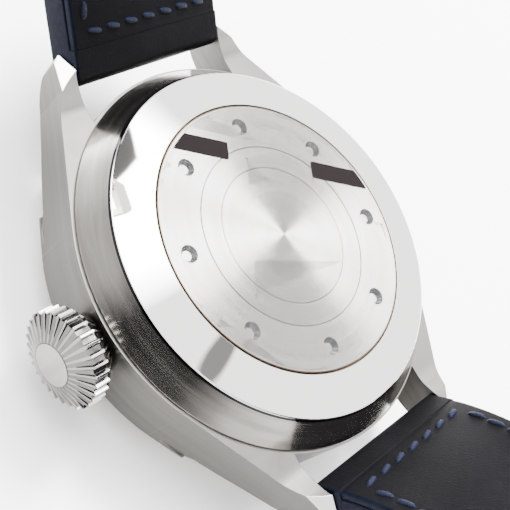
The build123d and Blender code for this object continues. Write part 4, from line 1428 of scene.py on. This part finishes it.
@dataclass
class Case:
    """The steel case and all that it holds: the finish of each of its nodes."""

    facet_points: tuple[Triple, ...] = ((13.1418, 24.5, 12.155), (11.0, 25.7309, 13.2), (11.0, 28.4, 12.003))

    def facet_plane(self) -> tuple[float, float, float, float]:
        """Plane of the lug facets through three points, in metres.

        Returns:
            The unit normal, (b - a) x (c - a) over its length, and the plane's distance from the origin.
        """
        a, b, c = (np.array(point) * MM for point in self.facet_points)
        normal = np.cross(b - a, c - a)
        normal /= np.linalg.norm(normal)
        return (*map(float, normal), float(normal @ a))

    def dress(self, nodes: dict[str, bpy.types.Object], materials: dict[str, bpy.types.Material]) -> None:
        """Gives the case's nodes their finishes.

        Args:
            nodes: The CAD nodes.
            materials: The finishes.
        """
        finishes = {
            "case_satin": ("mid_case",),
            "bezel_turned": ("bezel",),
            "drum_steel": ("case_back_ring",),
            "back_turned": ("case_back",),
            "crown_steel": ("crown",),
            "medallion_satin": ("crown_medallion",),
            "sapphire": ("crystal",),
            "film": ("protective_film",),
            "rubber": ("crystal_gasket", "back_gasket", "crown_gasket"),
            "dial_black": ("dial", "dial_flange"),
            "track_paint": ("hour_track",),
            "hand_steel": ("hour_hand", "minute_hand", "seconds_hand"),
            "plated": ("movement_plate", "train_bridge", "rotor"),
            "soft_iron": ("soft_iron_cover",),
            "gilt": ("barrel", "centre_wheel", "third_wheel", "fourth_wheel", "hour_wheel", "balance_wheel"),
            "plain_satin": ("movement_ring", "escape_wheel", "pallet_fork", "crown_tube", "stem",
                            "winding_pinion", "clutch_wheel", "spring_bar_12", "spring_bar_6"),
            "polished_steel": ("buckle_frame", "buckle_bar", "buckle_tongue"),
        }
        for finish, names in finishes.items():
            for name in names:
                nodes[name].data.materials.clear()
                nodes[name].data.materials.append(materials[finish])
            LOG.info("%s: %s", finish, ", ".join(names))


@dataclass
class Film:
    """The dark bars on the protective film over the case back."""

    radius: float = 15.33
    top: float = 15.9
    lift: float = 0.006
    slope: float = -30.4
    offsets: Span = (7.93, 10.0)
    gap: Span = (-6.18, 5.28)
    steps: int = 9

    def build(self, material: bpy.types.Material) -> bpy.types.Object:
        """Builds the two bars, each a strip from its gap edge to an arc of the film's rim.

        A point is along * (cos, sin)(slope) + off * (-sin, cos)(slope), and on the rim along is
        sqrt(radius^2 - off^2).

        Args:
            material: The ink.

        Returns:
            The bars as one piece.
        """
        slope = math.radians(self.slope)
        ahead = np.array([math.cos(slope), math.sin(slope)])
        aside = np.array([-math.sin(slope), math.cos(slope)])
        off = np.linspace(*self.offsets, self.steps)
        rim = np.sqrt(self.radius ** 2 - off ** 2)
        left, right = (np.full(self.steps, edge) for edge in self.gap)
        rows = (np.stack([-rim, left]), np.stack([right, rim]))
        strips = [row[..., None] * ahead + off[None, :, None] * aside for row in rows]
        flat = np.concatenate(strips).reshape(-1, 2)
        points = np.column_stack([flat, np.full(len(flat), self.top + self.lift)]) * MM
        step = np.arange(self.steps - 1)
        one = np.stack([step, step + self.steps, step + self.steps + 1, step + 1], axis=-1)
        faces = np.concatenate([one, one + 2 * self.steps])
        return mesh_object("film_bars", points, faces, "case", material, smooth=False)


@dataclass
class Dial:
    """The plain numbers on the dial."""

    face: float = 4.75
    lift: float = 0.02
    number_size: float = 3.6
    number_radius: float = 10.5
    hours: tuple[int, ...] = tuple(range(1, 12))
    top_angle: float = 90.0
    hour_angle: float = 30.0
    curve_steps: int = 4

    def number(self, hour: int) -> tuple[np.ndarray, list[list[int]]]:
        """Makes one number's flat outline at its hour, turned to be read from the crystal's side.

        A point (u, v) of the outline goes to (radius * cos a - u, radius * sin a + v), where a is top_angle
        plus the hour times hour_angle.

        Args:
            hour: The hour.

        Returns:
            Its points in millimetres and its faces.
        """
        curve = bpy.data.curves.new("number", "FONT")
        curve.body = str(hour)
        curve.align_x = "CENTER"
        curve.align_y = "CENTER"
        curve.size = self.number_size
        curve.resolution_u = self.curve_steps
        text = bpy.data.objects.new("number", curve)
        bpy.context.scene.collection.objects.link(text)
        graph = bpy.context.evaluated_depsgraph_get()
        mesh = bpy.data.meshes.new_from_object(text.evaluated_get(graph))
        flat = np.zeros(len(mesh.vertices) * 3)
        mesh.vertices.foreach_get("co", flat)
        flat = flat.reshape(-1, 3)
        angle = math.radians(self.top_angle + self.hour_angle * hour)
        x = math.cos(angle) * self.number_radius - flat[:, 0]
        y = math.sin(angle) * self.number_radius + flat[:, 1]
        faces = [list(polygon.vertices) for polygon in mesh.polygons]
        bpy.data.objects.remove(text)
        return np.column_stack([x, y, np.full(len(flat), self.face - self.lift)]), faces

    def build(self, material: bpy.types.Material) -> bpy.types.Object:
        """Builds the dial's numbers.

        Args:
            material: The luminous paint.

        Returns:
            The numbers as one piece.
        """
        points, faces, count = [], [], 0
        for hour in self.hours:
            place, outline = self.number(hour)
            points.append(place)
            faces += [[count + corner for corner in face] for face in outline]
            count += len(place)
        grid = np.concatenate(points) * MM
        piece = mesh_object("dial_numbers", grid, faces, "case", material, smooth=False)
        if piece.data.polygons[0].normal.z > 0:
            piece.data.flip_normals()
        return piece


@dataclass(frozen=True)
class Room:
    """The even surround: brighter upwards, duller at the crown's side and dark low behind it."""

    levels: Span = (1.2, 3.4)
    rise: Span = (0.0, 0.30)
    near_level: float = 0.8
    near_side: Span = (-0.55, -0.10)
    near_height: Span = (0.45, 0.80)
    dark_level: float = 0.03
    dark_direction: Triple = (-0.955, -0.297, 0.0)
    dark_turn: Span = (0.72, 0.93)
    dark_height: Span = (0.50, 0.75)
    over_one: float = 1.0001

    def light(self, graph: Graph) -> Socket:
        """Works out the room's light in every direction.

        The dark part goes by the cosine of the turn from its direction: the place along it over
        sqrt(over_one - z^2), which is never 0.

        Args:
            graph: The world's nodes.

        Returns:
            The light's level.
        """
        x, _, z = graph.parts()
        sky = graph.blend(graph.span(z, *self.rise), *self.levels)
        near = graph.times(graph.fall(x, *self.near_side), graph.fall(z, *self.near_height))
        sky = graph.blend(near, sky, self.near_level)
        outward = graph.reckon("SQRT", graph.minus(self.over_one, graph.times(z, z)))
        turn = graph.reckon("DIVIDE", graph.toward(self.dark_direction), outward)
        dark = graph.times(graph.span(turn, *self.dark_turn), graph.fall(z, *self.dark_height))
        return graph.blend(dark, sky, self.dark_level)


@dataclass(frozen=True)
class Window:
    """A large window high up with a grey card before it, whose edge bends at one place."""

    level: float = 20.0
    start: Span = (0.06, 0.17)
    near_side: Span = (-0.35, -0.10)
    far_side: Span = (0.50, 0.60)
    height: Span = (0.60, 0.72)
    card_level: float = 0.26
    card_direction: Triple = (-0.79, 1.16, 0.0)
    card_edge: Span = (0.1560, 0.1595)
    card_end: Span = (0.20, 0.24)
    bend_place: float = 0.855
    bend_slope: float = 0.10

    def over(self, graph: Graph, sky: Socket) -> Socket:
        """Lays the window and the card over the light.

        The card starts where its direction's place less bend_slope * |x + y - bend_place| reaches card_edge.

        Args:
            graph: The world's nodes.
            sky: The light so far.

        Returns:
            The light with them.
        """
        x, y, z = graph.parts()
        along = graph.toward(self.card_direction)
        bend = graph.times(graph.unsigned(graph.minus(graph.plus(x, y), self.bend_place)), self.bend_slope)
        card = graph.times(graph.span(graph.minus(along, bend), *self.card_edge),
                           graph.fall(along, *self.card_end))
        window = graph.times(graph.span(y, *self.start), graph.fall(x, *self.far_side),
                             graph.span(x, *self.near_side), graph.span(z, *self.height),
                             graph.minus(1.0, card))
        return graph.blend(window, graph.blend(card, sky, self.card_level), self.level)


@dataclass(frozen=True)
class Spot:
    """A round patch of even light round a direction, fading in over a span of the direction's cosine."""

    direction: Triple
    edge: Span
    level: float

    def over(self, graph: Graph, sky: Socket) -> Socket:
        """Lays the patch over the light."""
        return graph.blend(graph.span(graph.toward(self.direction), *self.edge), sky, self.level)


@dataclass(frozen=True)
class FanPanel:
    """A round panel over the case back whose two dark and two bright wedges the turned disc fans out."""

    centre: Span = (0.70, 0.06)
    drop: float = 0.714
    rim: Span = (0.19, 0.23)
    fan_angle: float = 2.52
    fan_edge: Span = (-0.10, 0.15)
    dark_level: float = 0.25
    side: Span = (-0.10, 0.08)
    side_levels: Span = (16.0, 7.0)
    stripe_angle: float = 2.38
    stripe_edge: Span = (0.90, 0.99)
    stripe_level: float = 5.5

    def over(self, graph: Graph, sky: Socket) -> Socket:
        """Lays the panel over the light.

        Its radius is the distance from the centre over (z + drop), and its wedges go by
        cos 2(angle - fan_angle).

        Args:
            graph: The world's nodes.
            sky: The light so far.

        Returns:
            The light with it.
        """
        x, y, z = graph.parts()
        off_x, off_y = graph.minus(x, self.centre[0]), graph.minus(y, self.centre[1])
        away = graph.reckon("DIVIDE", graph.length(off_x, off_y), graph.plus(z, self.drop))
        angle = graph.reckon("ARCTAN2", off_y, off_x)
        fan, stripe = (graph.reckon("COSINE", graph.times(graph.minus(angle, middle), 2.0))
                       for middle in (self.fan_angle, self.stripe_angle))
        bright = graph.span(off_x, *self.side, *self.side_levels)
        bright = graph.blend(graph.span(stripe, *self.stripe_edge), bright, self.stripe_level)
        wedges = graph.blend(graph.span(fan, *self.fan_edge), self.dark_level, bright)
        return graph.blend(graph.fall(away, *self.rim), sky, wedges)


@dataclass(frozen=True)
class Lamp:
    """A soft rectangular lamp that faces a target, unseen in reflections, in metres and watts."""

    name: str = "key"
    place: Triple = (0.26, 0.28, 0.50)
    target: Triple = (0.0, 0.0, 0.0)
    size: Span = (0.20, 0.20)
    power: float = 24.0

    def build(self) -> None:
        """Places the lamp."""
        data = bpy.data.lights.new(self.name, "AREA")
        data.shape = "RECTANGLE"
        data.size, data.size_y = self.size
        data.energy = self.power
        lamp = bpy.data.objects.new(self.name, data)
        bpy.context.scene.collection.objects.link(lamp)
        lamp.visible_glossy = False
        lamp.location = self.place
        lamp.rotation_mode = "QUATERNION"
        lamp.rotation_quaternion = (Vector(self.target) - Vector(self.place)).to_track_quat("-Z", "Y")


@dataclass
class Studio:
    """Table, light and camera."""

    place: Triple = (-84.216, -7.445, 101.796)
    azimuth: float = 84.98
    elevation: float = 47.347
    roll: float = 55.019
    lens: float = 78.45
    sensor: float = 36.0
    sight: Span = (0.005, 20.0)
    table_reach: float = 1.5
    table_colour: Colour = (0.92, 0.92, 0.92)
    table_roughness: float = 0.7
    table_gloss: float = 0.2
    light_colour: tuple[float, float, float, float] = (1.0, 0.995, 0.985, 1.0)
    room: Room = Room()
    window: Window = Window()
    grey_spot: Spot = Spot((0.303, -0.150, 0.941), (0.9989, 0.9995), 0.45)
    facet_spot: Spot = Spot((-0.300, 0.828, 0.473), (0.985, 0.994), 14.0)
    fan_panel: FanPanel = FanPanel()
    key: Lamp = Lamp()

    def camera(self) -> None:
        """Places the camera by its azimuth from +Y to +X, its elevation downwards and then its roll."""
        data = bpy.data.cameras.new("camera")
        data.lens = self.lens
        data.sensor_width = self.sensor
        data.clip_start, data.clip_end = self.sight
        camera = bpy.data.objects.new("camera", data)
        bpy.context.scene.collection.objects.link(camera)
        azimuth, elevation = math.radians(self.azimuth), math.radians(self.elevation)
        flat = math.cos(elevation)
        forward = Vector((flat * math.sin(azimuth), flat * math.cos(azimuth), -math.sin(elevation)))
        roll = Quaternion((0.0, 0.0, 1.0), math.radians(self.roll))
        camera.rotation_mode = "QUATERNION"
        camera.rotation_quaternion = forward.to_track_quat("-Z", "Y") @ roll
        camera.location = Vector(self.place) * MM
        bpy.context.scene.camera = camera

    def table(self) -> None:
        """Builds the white table the watch lies on."""
        reach = self.table_reach
        mesh = bpy.data.meshes.new("table")
        corners = [(-reach, -reach, 0.0), (reach, -reach, 0.0), (reach, reach, 0.0), (-reach, reach, 0.0)]
        mesh.from_pydata(corners, [], [(0, 1, 2, 3)])
        tree = Tree("table_white")
        tree.set(Base_Color=self.table_colour, Roughness=self.table_roughness,
                 Specular_IOR_Level=self.table_gloss)
        mesh.materials.append(tree.material)
        table = bpy.data.objects.new("table", mesh)
        bpy.context.scene.collection.objects.link(table)

    def light(self) -> None:
        """Sets the surround: the room, then the window, the spots and the panel over it, and the lamp."""
        world = bpy.data.worlds.new("studio")
        bpy.context.scene.world = world
        world.use_nodes = True
        graph = Graph(world.node_tree, "Generated")
        sky = self.room.light(graph)
        for part in (self.window, self.grey_spot, self.facet_spot, self.fan_panel):
            sky = part.over(graph, sky)
        background = graph.nodes["Background"]
        background.inputs["Color"].default_value = self.light_colour
        graph.fill(background.inputs["Strength"], sky)
        self.key.build()

    def build(self) -> None:
        """Builds the whole studio."""
        self.camera()
        self.table()
        self.light()


BUCKLE_LINE = StrapLine(38.0, ((8.0, 36.0), (44.0, 105.0), (24.0, 105.0)))
HOLE_LINE = StrapLine(62.0, ((3.0, 58.0), (9.0, 42.0), (71.6, 118.0), (32.0, 126.0)))
TONGUE_SLOT = (Opening(1.6, (1.8, 4.0)),)
HOLE_START, HOLE_PITCH, HOLE_COUNT = 12.0, 6.5, 5
HOLE_RADII = (1.1, 1.1)
TONGUE_HOLES = tuple(Opening(-HOLE_START - HOLE_PITCH * k, HOLE_RADII) for k in range(HOLE_COUNT))


def corners(box: tuple[Vector, Vector]) -> list[list[float]]:
    """A box as plain lists of numbers."""
    return [list(map(float, corner)) for corner in box]


def report(piece: bpy.types.Object) -> None:
    """Logs a piece's name and number of faces."""
    LOG.info("%s has %d faces", piece.name, len(piece.data.polygons))


def main() -> None:
    """Loads the frame, dresses it and reports each piece."""
    logging.basicConfig(level=logging.INFO, format="%(name)s: %(message)s")
    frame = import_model()
    case = Case()
    materials = Finishes(case.facet_plane()).build()
    case.dress(frame["nodes"], materials)
    report(Film().build(materials["film_ink"]))
    report(Dial().build(materials["luminous"]))
    halves = (
        StrapHalf(Half.BUCKLE, BUCKLE_LINE, ("strap_12", "strap_12_lining"), "buckle_half", TONGUE_SLOT, 19.5,
                  end_extra=1.6, press_depth=0.26),
        StrapHalf(Half.HOLES, HOLE_LINE, ("strap_6", "strap_6_lining"), "hole_half", TONGUE_HOLES, 12.5,
                  point_length=11.0),
    )
    for half in halves:
        for piece in half.build(materials):
            report(piece)
    keepers = (
        Keeper("fixed_loop", "fixed_keeper", "buckle_half", BUCKLE_LINE, 7.5, 0.03),
        Keeper("free_loop", "free_keeper", "loop", BUCKLE_LINE, 17.0, 0.3),
    )
    for keeper in keepers:
        report(keeper.build(materials["black_calf"]))
    Studio().build()


if __name__ == "__main__":
    main()
